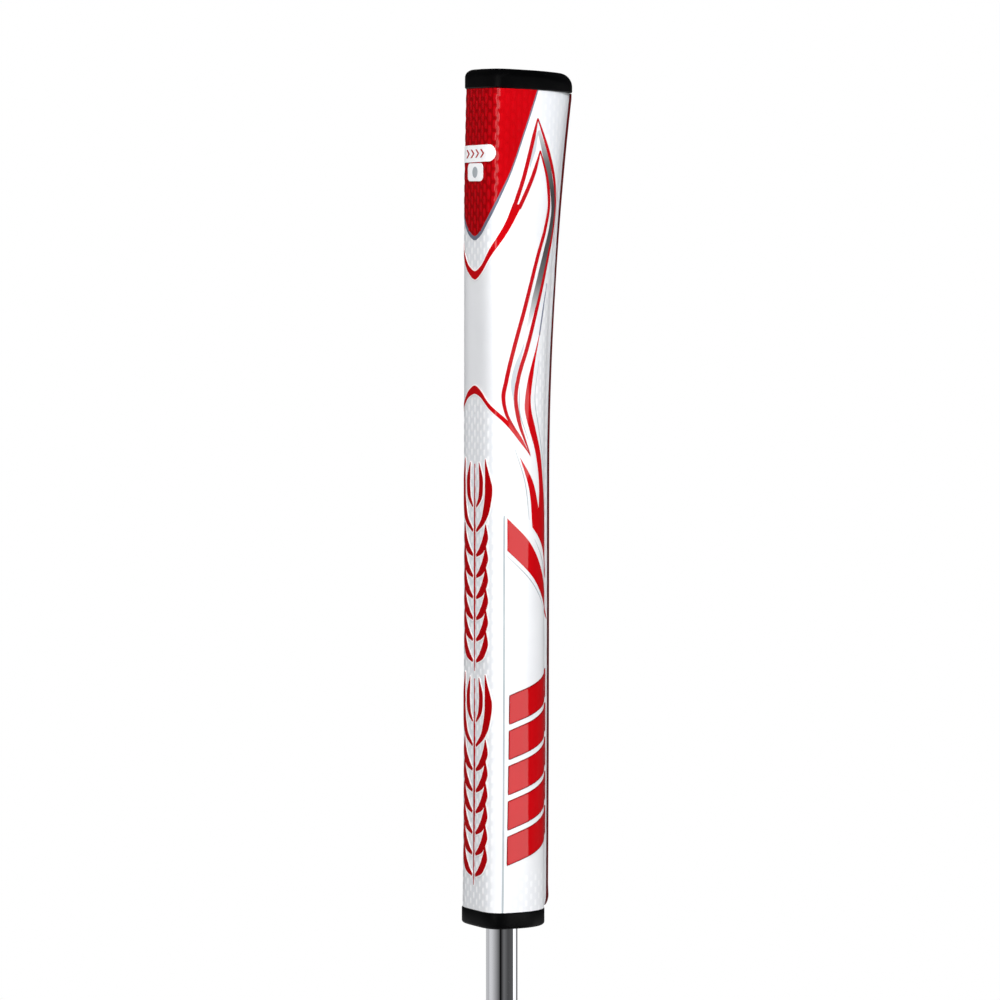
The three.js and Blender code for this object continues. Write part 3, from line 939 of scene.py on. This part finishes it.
def shadow_material():
    """Grey print that is darkest half-way up and fades to pale at both ends of its stripe."""
    material, nodes, links, shader = new_material("shadow_print")
    coordinates = nodes.new("ShaderNodeTexCoord").outputs["Object"]
    split = nodes.new("ShaderNodeSeparateXYZ")
    links.new(coordinates, split.inputs["Vector"])
    fade = grey_ramp(nodes, SHADOW_FADE, (1, 1.01, 1.03))
    first, last = SHADOW_FADE[0][0], SHADOW_FADE[-1][0]
    links.new(spread(nodes, links, split.outputs["Z"], 0, 1, first, last), fade.inputs["Fac"])
    links.new(fade.outputs["Color"], shader.inputs["Base Color"])
    uneven = noise(nodes, links, coordinates, 240)
    links.new(spread(nodes, links, uneven, 0.35, 0.45), shader.inputs["Roughness"])
    grain = noise(nodes, links, coordinates, 2600)
    links.new(bump(nodes, links, grain, 0.01), shader.inputs["Normal"])
    return material


shadow_print = shadow_material()


# ---------- the wrap ----------

def build_skin():
    """The white wrap: an embossed outside and a plain inside, joined at both ends."""
    rows, relief = [], []
    for level in np.linspace(WRAP_BOTTOM, WRAP_TOP, SKIN_ROWS):
        half = np.linspace(0, wrap.half_length_at(level), HALF_COLUMNS + 1)
        a = np.concatenate([half, -half[-2:0:-1]])
        levels = np.full(len(a), level)
        spots = wrap.place(a, levels, emboss(a, levels))
        spots[[0, HALF_COLUMNS], 0] = 0
        rows.append(spots)
        relief.append(relief_shade(a, levels))
    for level in np.linspace(WRAP_TOP, WRAP_BOTTOM, INNER_ROWS):
        rows.append(loop_at(level, HALF_COLUMNS, SKIN_THICKNESS))
        relief.append(np.full(2 * HALF_COLUMNS, 0.5))
    rows_object("skin_wrap", rows, white_skin, "grip", ["outer_skin"],
                relief=np.concatenate(relief))


def rounded_box(half_width, middle, half_height, radius, steps=5):
    """A closed outline round a = 0, its corners quarter circles."""
    corners = [(1, 1, 0), (-1, 1, 90), (-1, -1, 180), (1, -1, 270)]
    points = []
    for side, end, start in corners:
        centre_a = side * (half_width - radius)
        centre_level = middle + end * (half_height - radius)
        for step in range(steps + 1):
            angle = math.radians(start + 90 * step / steps)
            across, along = math.cos(angle), math.sin(angle)
            points.append((centre_a + radius * across, centre_level + radius * along))
    return even(np.array(points))


def chevron(a):
    """A small arrowhead, its open side at a."""
    high, point, stroke = CHEVRON_HALF_HEIGHT, CHEVRON_POINT, CHEVRON_STROKE
    corners = [
        (a, high), (a + point, 0), (a, -high), (a + stroke, -high), (a + point + stroke, 0),
        (a + stroke, high),
    ]
    return closed(*zip(corners, corners[1:] + corners[:1]))


def build_top_field():
    """The coloured field under the cap, with a pill and a badge on it."""
    edge = across_middle(FIELD_EDGE)
    top_line = [edge[-1], edge[0]]
    printed("top_field", [closed(edge, top_line)], field_red, LIFT_PAD, both_sides=False,
            relief=True, spacing=FINE_SPACING)
    widths = [EDGE_WIDTH, EDGE_WIDTH, FIELD_TIP_WIDTH, EDGE_WIDTH, EDGE_WIDTH]
    printed("top_field_edge", [ribbon(edge, widths)], edge_grey, both_sides=False)
    tilt = np.array([[1, PILL_RISE], [0, 1]])
    pill = rounded_box(PILL_HALF_WIDTH, 0, PILL_HALF_HEIGHT, PILL_HALF_HEIGHT * 0.96, 8)
    pill = pill @ tilt + (0, PILL_LEVEL)
    badge = rounded_box(BADGE_HALF_WIDTH, BADGE_LEVEL, BADGE_HALF_HEIGHT, BADGE_CORNER)
    printed("top_badges", [pill, badge], badge_white, LIFT_BADGE, both_sides=False)
    starts = [CHEVRON_START + CHEVRON_PITCH * turn for turn in range(CHEVRON_COUNT)]
    marks = [chevron(start) @ tilt + (0, PILL_LEVEL) for start in starts]
    printed("badge_marks", marks, deep_red, LIFT_MARK, both_sides=False)
    radius = BADGE_DOT_RADIUS
    dot = rounded_box(radius, BADGE_LEVEL, radius, radius - 0.01, 8)
    printed("badge_dot", [dot], grey_print_and_rim_shade, LIFT_MARK, both_sides=False)


def flipped(point):
    """The same point on the other side of the thumb face's middle."""
    return (-point[0], point[1])


def line_widths(count, first=LINE_WIDTH, last=LINE_WIDTH):
    """Equal widths along a printed line, but for its two ends."""
    return [first, *[LINE_WIDTH] * (count - 2), last]


def build_lines():
    """The V on the thumb face, the tall spike that it runs into, and the band below."""
    upper_end, lower_end = V_UPPER[-1], V_LOWER[-1]
    v_band = closed(
        across_middle(V_LOWER),
        [lower_end, V_NOTCH],
        [V_NOTCH, upper_end],
        across_middle(V_UPPER)[::-1],
        [flipped(upper_end), flipped(V_NOTCH)],
        [flipped(V_NOTCH), flipped(lower_end)],
    )
    lambda_band = closed(across_middle(LAMBDA_UPPER), across_middle(LAMBDA_LOWER)[::-1])
    printed("front_bands", [v_band, lambda_band], print_red, both_sides=False,
            spacing=FINE_SPACING)
    edges = [
        ribbon(across_middle(line), [0.1, 0.8, 0.8, 0.8, 0.1])
        for line in (V_UPPER, V_LOWER, LAMBDA_UPPER[:4], LAMBDA_LOWER[:4])
    ]
    printed("front_band_rims", edges, pale_rim, LIFT_BAND_RIM, both_sides=False)
    lines = [
        ribbon(SPIKE_LEFT, line_widths(6, last=LINE_TIP)),
        ribbon(SPIKE_RIGHT, line_widths(10, first=LINE_TIP, last=LINE_TIP / 2)),
        ribbon(INNER_LEFT, line_widths(4, last=LINE_TIP)),
        ribbon(INNER_RIGHT, line_widths(8, first=LINE_TIP, last=0.7)),
    ]
    printed("spike_lines", lines, line_red, LIFT_LINE)
    printed("spike_shadow", [ribbon(SHADOW_LINE, SHADOW_WIDTHS)], shadow_print, LIFT_PAD)
    printed("soft_stripes", [ribbon(*stripe) for stripe in SOFT_LINES], soft_grey, LIFT_PAD)


def build_swooshes():
    """The large swoosh and the fin on each side, their fine lines, and painted shade along their rims
    and in the corner groove.
    """
    swoosh = closed(LEAF_RIGHT, SWOOSH_LEFT, SWOOSH_RIGHT, LEAF_FOOT[::-1], LEAF_LEFT[::-1])
    fin = closed(FIN_UPPER, FIN_LOWER[::-1], [FIN_LOWER[0], FIN_UPPER[0]])
    printed("side_swooshes", [swoosh, fin], print_red)
    printed("swoosh_tip", [ribbon(SWOOSH_TIP, [0.5, 0.5, 0.1])], edge_grey)
    # Grey lines of painted shade along the raised rims beside the swoosh and the fin.
    rims = [ribbon(line, [0.1, RIM_SHADE_WIDTH, RIM_SHADE_WIDTH, 0.1]) for line in RIM_SHADE_LINES]
    printed("side_rim_shade", rims, grey_print_and_rim_shade, LIFT_RIM)
    # A grey line of painted shade, sunk inside the groove down the corner.
    groove = [(GROOVE_AT, WRAP_BOTTOM), (GROOVE_AT, GROOVE_TOP)]
    printed("groove_shade_line", [ribbon(groove, [0.75, 0.6])], groove_shade_grey, LIFT_GROOVE)


def build_bars():
    """A stack of equal slanted bars low on each side."""
    bottom, top = np.array(BARS_BOTTOM), np.array(BARS_TOP)
    gap = BAR_GAP / (top[0, 1] - bottom[0, 1])
    thickness = (1 - gap * (BAR_COUNT - 1)) / BAR_COUNT
    bars = []
    for turn in range(BAR_COUNT):
        start = turn * (thickness + gap)
        lower = bottom + (top - bottom) * start
        upper = bottom + (top - bottom) * (start + thickness)
        bars.append(closed(lower, [lower[-1], upper[-1]], upper[::-1], [upper[0], lower[0]]))
    printed("side_bars", bars, print_red)
    printed("side_bar_borders", [widened(bar, 0.3) for bar in bars], border_red, LIFT_PAD)


# Leaf strokes of the thumb face's ornament, each (points, widths), measured from its foot.
TALL_STROKES = [
    ([(1.1, 0), (5.4, 3.6), (7.9, 11.0), (6.6, 22.6)], [0.9, 3.0, 3.2, 0.3]),
    ([(1.1, 7.6), (3.4, 10.4), (4.2, 15.2), (2.9, 21.4)], [0.7, 2.4, 2.3, 0.3]),
]
SHORT_STROKE = ([(1.1, 0), (4.3, 2.0), (6.6, 5.6), (6.8, 10.0)], [0.9, 2.8, 2.7, 0.3])
STEM_WIDTH = 0.9
STEM_TOP = 21  # above the tall leaves' foot
STEM_TAIL = 4
SHORT_PITCH = 6.6
SHORT_DROP = 1.0
SHORT_COUNT = 6
SPRIG_FEET = [123.6, 56.6]


def build_ornament():
    """Two sprigs of curved leaves down the thumb face, one above the other."""
    strokes, stems = [], []
    for foot in SPRIG_FEET:
        stem = [(0, foot - STEM_TAIL - SHORT_COUNT * SHORT_PITCH), (0, foot + STEM_TOP)]
        stems.append(ribbon(stem, [0.3, STEM_WIDTH, STEM_WIDTH, 0.3]))
        for points, widths in TALL_STROKES:
            strokes.append(ribbon(np.add(points, (0, foot)), widths))
        points, widths = SHORT_STROKE
        for turn in range(1, SHORT_COUNT + 1):
            short_foot = foot - SHORT_DROP - turn * SHORT_PITCH
            strokes.append(ribbon(np.add(points, (0, short_foot)), widths))
    printed("thumb_ornament", strokes, deep_red, LIFT_TOP)
    printed("thumb_stems", stems, deep_red, LIFT_TOP, both_sides=False)
    rims = [widened(stroke, 0.4) for stroke in strokes]
    printed("thumb_ornament_rims", rims, pale_rim, LIFT_LEAF_RIM)


# ---------- rubber ends, spine, shaft and plug ----------

def circle_under(loop, radius, height):
    """A circle with a point below each point of the loop."""
    angle = np.arctan2(loop[:, 1], loop[:, 0])
    return np.stack([radius * np.cos(angle), radius * np.sin(angle), np.full(len(loop), height)], 1)


def flange_loop(share):
    """The cap's outline, drawn in round its top edge as share runs from 0 to 1."""
    seat = loop_at(CAP_SEAT, END_HALF_COLUMNS, -CAP_PROUD, CAP_BACK)
    inner = loop_at(CAP_SEAT, END_HALF_COLUMNS, 1 - CAP_PROUD, CAP_BACK - 1)
    rounder = soft_step(seat[:, 1], CAP_ROUNDER_FROM, CAP_ROUNDER_TO)
    radius = CAP_FRONT_RADIUS + (CAP_BACK_RADIUS - CAP_FRONT_RADIUS) * rounder
    angle = share * math.pi / 2
    inset = radius * (1 - math.cos(angle))
    drop = radius * (1 - math.sin(angle))
    spots = seat + (inner - seat) * inset[:, None]
    spots[:, 2] = GRIP_LENGTH - drop - BUTT_SLANT * spots[:, 1]
    return spots


def build_cap():
    """The butt cap: a spigot, a flange with a rounded edge, and the recess for the plug."""
    half = END_HALF_COLUMNS
    rows = [loop_at(CAP_SPIGOT_BOTTOM, half, CORE_INSET), loop_at(CAP_SEAT, half, CORE_INSET)]
    rows.append(loop_at(CAP_SEAT, half, CAP_LIP - CAP_PROUD, CAP_BACK - CAP_LIP))
    lip = loop_at(CAP_SEAT, half, -CAP_PROUD, CAP_BACK)
    lip[:, 2] += CAP_LIP
    rows.append(lip)
    for share in np.linspace(0, 1, 11):
        rows.append(flange_loop(share))
    top = flange_loop(1)
    edge = RECESS_EDGE_RADIUS
    for blend_share in (0.25, 0.5, 0.75):
        target = circle_under(top, RECESS_RADIUS + edge, 0)
        target[:, 2] = GRIP_LENGTH - BUTT_SLANT * target[:, 1]
        rows.append(top + (target - top) * blend_share)
    for angle in np.radians((0, 30, 60, 90)):
        ring = circle_under(top, RECESS_RADIUS + edge * (1 - math.sin(angle)), 0)
        ring[:, 2] = GRIP_LENGTH - BUTT_SLANT * ring[:, 1] - edge * (1 - math.cos(angle))
        rows.append(ring)
    rows.append(circle_under(top, RECESS_RADIUS, RECESS_FLOOR))
    rows.append(circle_under(top, INSERT_COLLAR_RADIUS + BOND_GAP, RECESS_FLOOR))
    rows.append(circle_under(top, INSERT_COLLAR_RADIUS + BOND_GAP, COLLAR_SEAT))
    rows.append(circle_under(top, INSERT_RADIUS + BOND_GAP, COLLAR_SEAT))
    rows.append(circle_under(top, INSERT_RADIUS + BOND_GAP, CAP_SPIGOT_BOTTOM))
    rows_object("butt_cap_rubber", rows, end_rubber, "grip", ["butt_cap"], sharp=40)


def build_ring():
    """The mouth ring: a short band with rounded edges and a spigot inside the wrap."""
    half = END_HALF_COLUMNS
    hole = SHAFT_STEPS[0][1] + BORE_MARGIN
    rows = []
    for angle in np.radians(np.linspace(0, 90, 7)):
        inset = RING_EDGE_RADIUS * (1 - math.sin(angle)) - RING_PROUD
        loop = loop_at(0, half, inset, RING_BACK + RING_FULLER - RING_PROUD - inset)
        loop[:, 2] += RING_EDGE_RADIUS * (1 - math.cos(angle))
        rows.append(loop)
    edge = RING_TOP_EDGE
    part_way = 0.07
    for drop, inset in ((edge, 0), (part_way, part_way), (0, edge)):
        loop = loop_at(0, half, inset - RING_PROUD, RING_BACK + RING_FULLER - inset)
        loop[:, 2] += RING_HEIGHT - drop
        rows.append(loop)
    rows.append(loop_at(RING_HEIGHT, half, CORE_INSET))
    rows.append(loop_at(RING_SPIGOT_TOP, half, CORE_INSET))
    rows.append(circle_under(rows[0], hole, RING_SPIGOT_TOP))
    rows.append(circle_under(rows[0], hole, RING_HOLE_CHAMFER))
    rows.append(circle_under(rows[0], hole + RING_HOLE_CHAMFER, 0))
    rows_object("mouth_ring_rubber", rows, end_rubber, "grip", ["mouth_ring"],
                sharp=40)


def build_spine():
    """The rib down the back: half an ellipse across, with a rounded toe."""
    rows = []
    toe_angles = np.linspace(TOE_FIRST_ANGLE, math.pi / 2, TOE_ROWS)
    toe = TOE_START + (TOE_END - TOE_START) * (1 - np.cos(toe_angles))
    toe = toe[toe > SPINE_BOTTOM + 0.1]
    straight = np.linspace(TOE_END + 2, WRAP_TOP - BOND_GAP, SPINE_ROWS)
    for level in np.concatenate([[SPINE_BOTTOM], toe, straight]):
        growth = toe_growth(level)
        flare = flare_at(level)
        half_width = SPINE_HALF_WIDTH + SPINE_HALF_WIDTH_FLARE * flare
        half_width *= TOE_WIDTH_SHARE + (1 - TOE_WIDTH_SHARE) * growth
        seat = back_at(level, 0) + SPINE_SEAT_GAP
        bulge = TOE_BULGE * math.exp(-(((level - TOE_END) / TOE_BULGE_REACH) ** 2))
        crest = SPINE_CREST + SPINE_CREST_FLARE * flare - dip_at(level) + bulge
        crest = seat + (crest - seat) * growth
        shoulder = back_at(level, half_width) + SPINE_SEAT_GAP
        angle = np.linspace(0, math.pi, SPINE_ARC_STEPS + 1)
        x = half_width * np.cos(angle)
        y = shoulder + (crest - shoulder) * np.sin(angle)
        seat_x = half_width * np.linspace(-0.8, 0.8, 7)
        x = np.concatenate([x, seat_x])
        y = np.concatenate([y, back_at(level, seat_x) + SPINE_SEAT_GAP])
        rows.append(np.stack([x, y, height_at(level, y)], 1))
    rows_object("spine_moulding", rows, spine_red_shaded, "grip", ["spine_rib"], looped=False,
                sharp=50)


def shaft_profile(margin):
    """The stepped outline of the shaft, as (radius, height), moved out by a margin."""
    profile = [(SHAFT_STEPS[0][1] + margin, SHAFT_BOTTOM)]
    for (_, before), (start, radius) in zip(SHAFT_STEPS, SHAFT_STEPS[1:]):
        profile.append((before + margin, start))
        profile.append((radius + margin, start + STEP_CONE_LENGTH))
    profile.append((SHAFT_STEPS[-1][1] + margin, SHAFT_TOP))
    return profile


def build_shaft():
    """The steel tube, its lower rim bevelled inside and out."""
    outer = shaft_profile(0)
    inner = shaft_profile(-SHAFT_WALL)
    bevel = SHAFT_BEVEL
    outer[0:1] = [(outer[0][0] - bevel, SHAFT_BOTTOM), (outer[0][0], SHAFT_BOTTOM + bevel)]
    inner[0:1] = [(inner[0][0] + bevel, SHAFT_BOTTOM), (inner[0][0], SHAFT_BOTTOM + bevel)]
    rows = turned_rows([*outer, *inner[::-1]], SHAFT_COLUMNS)
    rows_object("shaft_steel", rows, chrome, "grip", ["shaft_tube"], sharp=20)


def build_plug():
    """The port plug: a domed head with a hex socket, on a threaded shank."""
    columns = PLUG_COLUMNS
    angle = np.arange(columns) * 2 * math.pi / columns
    ring = np.stack([np.cos(angle), np.sin(angle)], 1)

    def loop(radius, height):
        return np.column_stack([ring * np.reshape(radius, (-1, 1)), np.full(columns, float(height))])

    def round_loop(radius, height):
        return loop(np.full(columns, radius), height)

    root = PLUG_SHANK_RADIUS - THREAD_DEPTH
    rows = [round_loop(root - SHANK_END_CHAMFER, PLUG_SHANK_BOTTOM)]
    thread_end = PLUG_HEAD_BOTTOM - UNDERCUT
    for height in np.arange(PLUG_SHANK_BOTTOM + THREAD_STEP, PLUG_HEAD_BOTTOM, THREAD_STEP):
        turn = (height / THREAD_LEAD - angle / (2 * math.pi)) % 1
        tooth = soft_step(1 - np.abs(turn * 2 - 1), FLANK_START, FLANK_END)
        fade = soft_step(height, PLUG_SHANK_BOTTOM, PLUG_SHANK_BOTTOM + THREAD_RUN_IN)
        fade *= soft_step(thread_end - height, 0, THREAD_RUN_OUT)
        rows.append(loop(PLUG_SHANK_RADIUS - THREAD_DEPTH * (1 - tooth * fade), height))
    rows.append(round_loop(root, PLUG_HEAD_BOTTOM))
    rows.append(round_loop(PLUG_HEAD_RADIUS - HEAD_FOOT_BEVEL, PLUG_HEAD_BOTTOM))
    notch = HEAD_NOTCH_DEPTH * soft_step(np.cos(angle * HEAD_NOTCHES), 0.2, 0.9)
    rows.append(loop(PLUG_HEAD_RADIUS - notch, PLUG_HEAD_BOTTOM + HEAD_FOOT_BEVEL))
    rows.append(loop(PLUG_HEAD_RADIUS - notch, PLUG_HEAD_TOP - HEAD_EDGE_RADIUS - 0.05))
    for share in np.linspace(0.2, 1, 5):
        bend = share * math.pi / 2
        radius = PLUG_HEAD_RADIUS - HEAD_EDGE_RADIUS * (1 - math.cos(bend))
        drop = HEAD_EDGE_RADIUS * (1 - math.sin(bend))
        rows.append(loop(radius - notch * (1 - share), PLUG_HEAD_TOP - drop))
    for radius, depth in HEAD_GROOVE:
        rows.append(round_loop(radius, PLUG_HEAD_TOP - depth))
    apothem = SOCKET_ACROSS_FLATS / 2
    hexagon = apothem / np.cos((angle % (math.pi / 3)) - math.pi / 6)
    socket_floor = PLUG_HEAD_TOP - SOCKET_DEPTH
    rows.append(loop(hexagon + SOCKET_CHAMFER, PLUG_HEAD_TOP))
    rows.append(loop(hexagon, PLUG_HEAD_TOP - SOCKET_CHAMFER))
    rows.append(loop(hexagon, socket_floor))
    rows.append(loop(hexagon * SOCKET_POINT, socket_floor - SOCKET_CHAMFER))
    rows_object("plug_body", rows, plug_nylon, "plug", ["port_plug"], looped=False,
                sharp=30)


def build_gasket():
    """A flat rubber ring with rounded corners."""
    middle = (GASKET_INNER_RADIUS + GASKET_OUTER_RADIUS) / 2
    reach = (GASKET_OUTER_RADIUS - GASKET_INNER_RADIUS) / 2
    half_height = GASKET_HEIGHT / 2
    profile = []
    for turn in range(GASKET_SIDES):
        angle = -math.pi / 2 + 2 * math.pi * turn / GASKET_SIDES
        across, along = math.cos(angle), math.sin(angle)
        profile.append((
            middle + reach * math.copysign(abs(across) ** 0.5, across),
            GASKET_BOTTOM + half_height + half_height * math.copysign(abs(along) ** 0.5, along),
        ))
    rows_object("gasket_ring", turned_rows(profile, GASKET_COLUMNS), gasket_rubber,
                "gasket", ["plug_gasket"], sharp=60)


def dress_inner_nodes():
    """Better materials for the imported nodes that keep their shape."""
    for node, material in (
        ("felt_backing", felt), ("foam_core", foam), ("grip_tape", tape),
        ("port_insert", insert_metal),
    ):
        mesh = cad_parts[node].data
        mesh.materials.clear()
        mesh.materials.append(material)


# ---------- studio ----------

CAMERA_AZIMUTH = 62.0
CAMERA_PITCH = 3.147
CAMERA_DISTANCE = 1.594
CAMERA_TARGET_HEIGHT = 0.13304
CAMERA_LENS = 184.0
AXIS_SHIFT = 0.00056
FLOOR_DROP = 0.35
FLOOR_REACH = 5.0

# Glow round the room, each (azimuth in degrees from +X towards +Y, radiance). It is only lit
# below DIM_FROM, so that the glossy prints reflect a dark room and the shaft a lit one.
HORIZON = [
    (-180, 0.50), (-160, 0.55), (-148, 0.42), (-124, 0.66), (-104, 0.60), (-71, 0.31), (-46, 0.10),
    (-42, 0.006), (-34, 0.006), (-12, 0.15), (18, 0.068), (52, 0.09), (62, 0.12), (66, 1.3),
    (93, 1.3), (98, 0.45), (110, 0.12), (135, 0.40), (180, 0.50),
]
DIM_FROM = -7.4
DIM_EDGE = 0.5
DIM_GLOW = 0.03


def direction(azimuth, elevation):
    a, e = math.radians(azimuth), math.radians(elevation)
    return Vector((math.cos(a) * math.cos(e), math.sin(a) * math.cos(e), math.sin(e)))


def add_softbox(name, azimuth, elevation, distance, width, height, radiance, aim=(0, 0, 0.13),
                mirrored_in_gloss=False):
    """A rectangular lamp that faces aim, from a direction in degrees."""
    lamp = bpy.data.lights.new(name, "AREA")
    lamp.shape = "RECTANGLE"
    lamp.size, lamp.size_y = width, height
    lamp.energy = radiance * math.pi * width * height
    softbox = bpy.data.objects.new(name, lamp)
    bpy.context.scene.collection.objects.link(softbox)
    way = direction(azimuth, elevation)
    softbox.location = Vector(aim) + way * distance
    softbox.rotation_mode = "QUATERNION"
    softbox.rotation_quaternion = (-way).to_track_quat("-Z", "Y")
    softbox.visible_camera = False
    softbox.visible_glossy = mirrored_in_gloss


def build_world():
    """A white backdrop to the camera, and the drawn glow to everything else."""
    world = bpy.data.worlds.new("studio_world")
    bpy.context.scene.world = world
    world.use_nodes = True
    nodes, links = world.node_tree.nodes, world.node_tree.links
    nodes.clear()
    coordinates = nodes.new("ShaderNodeTexCoord")
    split = nodes.new("ShaderNodeSeparateXYZ")
    links.new(coordinates.outputs["Generated"], split.inputs["Vector"])
    bearing = nodes.new("ShaderNodeMath")
    bearing.operation = "ARCTAN2"
    links.new(split.outputs["Y"], bearing.inputs[0])
    links.new(split.outputs["X"], bearing.inputs[1])
    turn = spread(nodes, links, bearing.outputs["Value"], 0, 1, -math.pi, math.pi)
    glow = grey_ramp(nodes, HORIZON, (1, 1, 1.02))
    links.new(turn, glow.inputs["Fac"])
    start, end = (math.sin(math.radians(e)) for e in (DIM_FROM, DIM_FROM - DIM_EDGE))
    below = spread(nodes, links, split.outputs["Z"], 0, 1, start, end)
    dimmed = nodes.new("ShaderNodeMix")
    dimmed.data_type = "RGBA"
    links.new(below, dimmed.inputs["Factor"])
    dimmed.inputs["A"].default_value = (DIM_GLOW, DIM_GLOW, DIM_GLOW * 1.02, 1)
    links.new(glow.outputs["Color"], dimmed.inputs["B"])
    lit = nodes.new("ShaderNodeBackground")
    links.new(dimmed.outputs["Result"], lit.inputs["Color"])
    seen = nodes.new("ShaderNodeBackground")
    seen.inputs["Color"].default_value = (1, 1, 1, 1)
    output = nodes.new("ShaderNodeOutputWorld")
    both = seen_and_unseen(nodes, links, seen.outputs["Background"], lit.outputs["Background"])
    links.new(both, output.inputs["Surface"])


def build_floor():
    """A plain floor: white to the camera, pale grey to the lamps, and left out of reflections."""
    reach, height = FLOOR_REACH, -FLOOR_DROP
    mesh = bpy.data.meshes.new("studio_floor")
    sides = [(-1, -1), (1, -1), (1, 1), (-1, 1)]
    corners = [(side * reach, end * reach, height) for side, end in sides]
    mesh.from_pydata(corners, [], [(0, 1, 2, 3)])
    floor = bpy.data.objects.new("studio_floor", mesh)
    bpy.context.scene.collection.objects.link(floor)
    material = bpy.data.materials.new("studio_floor")
    material.use_nodes = True
    nodes, links = material.node_tree.nodes, material.node_tree.links
    nodes.clear()
    pale = nodes.new("ShaderNodeBsdfDiffuse")
    pale.inputs["Color"].default_value = (0.3, 0.3, 0.3, 1)
    bright = nodes.new("ShaderNodeEmission")
    bright.inputs["Color"].default_value = (1, 1, 1, 1)
    output = nodes.new("ShaderNodeOutputMaterial")
    both = seen_and_unseen(nodes, links, bright.outputs["Emission"], pale.outputs["BSDF"])
    links.new(both, output.inputs["Surface"])
    mesh.materials.append(material)
    floor.visible_glossy = False


def build_camera():
    """The camera, on the +X side and a little in front, aimed at the middle of the grip."""
    turn, pitch = math.radians(CAMERA_AZIMUTH), math.radians(CAMERA_PITCH)
    back = Vector((
        math.sin(turn) * math.cos(pitch), -math.cos(turn) * math.cos(pitch), math.sin(pitch)
    ))
    right = Vector((math.cos(turn), math.sin(turn), 0))
    lens = bpy.data.cameras.new("camera")
    lens.lens = CAMERA_LENS
    lens.sensor_width = 36
    lens.clip_start, lens.clip_end = 0.05, 60
    camera = bpy.data.objects.new("camera", lens)
    bpy.context.scene.collection.objects.link(camera)
    target = Vector((0, 0, CAMERA_TARGET_HEIGHT)) - right * AXIS_SHIFT
    camera.location = target + back * CAMERA_DISTANCE
    camera.rotation_mode = "QUATERNION"
    camera.rotation_quaternion = (-back).to_track_quat("-Z", "Y")
    bpy.context.scene.camera = camera


def build_lights():
    """Soft lamps that only light, and two cards that are also mirrored in glossy surfaces."""
    add_softbox("key", -20, 36, 1.5, 0.9, 0.7, 16.5)
    add_softbox("front_fill", -100, 34, 1.6, 0.8, 0.6, 4.2)
    add_softbox("top_light", 20, 84, 1.5, 0.8, 0.8, 3.0)
    add_softbox("side_rim", 112, 30, 1.6, 0.8, 0.6, 12.0)
    add_softbox("far_fill", 190, 32, 1.6, 0.9, 0.7, 7.0)
    add_softbox("sheen_card", 31, 0, 0.62, 0.356, 0.24, 2.3, (0, 0, 0.04), True)
    add_softbox("edge_strip", -62, 0, 0.9, 0.16, 0.36, 5.0, (0, 0, 0.30), True)


bpy.context.scene.view_settings.view_transform = "Standard"
build_camera()
build_world()
build_floor()
build_lights()
build_skin()
build_top_field()
build_lines()
build_swooshes()
build_bars()
build_ornament()
build_cap()
build_ring()
build_spine()
build_shaft()
build_plug()
build_gasket()
dress_inner_nodes()
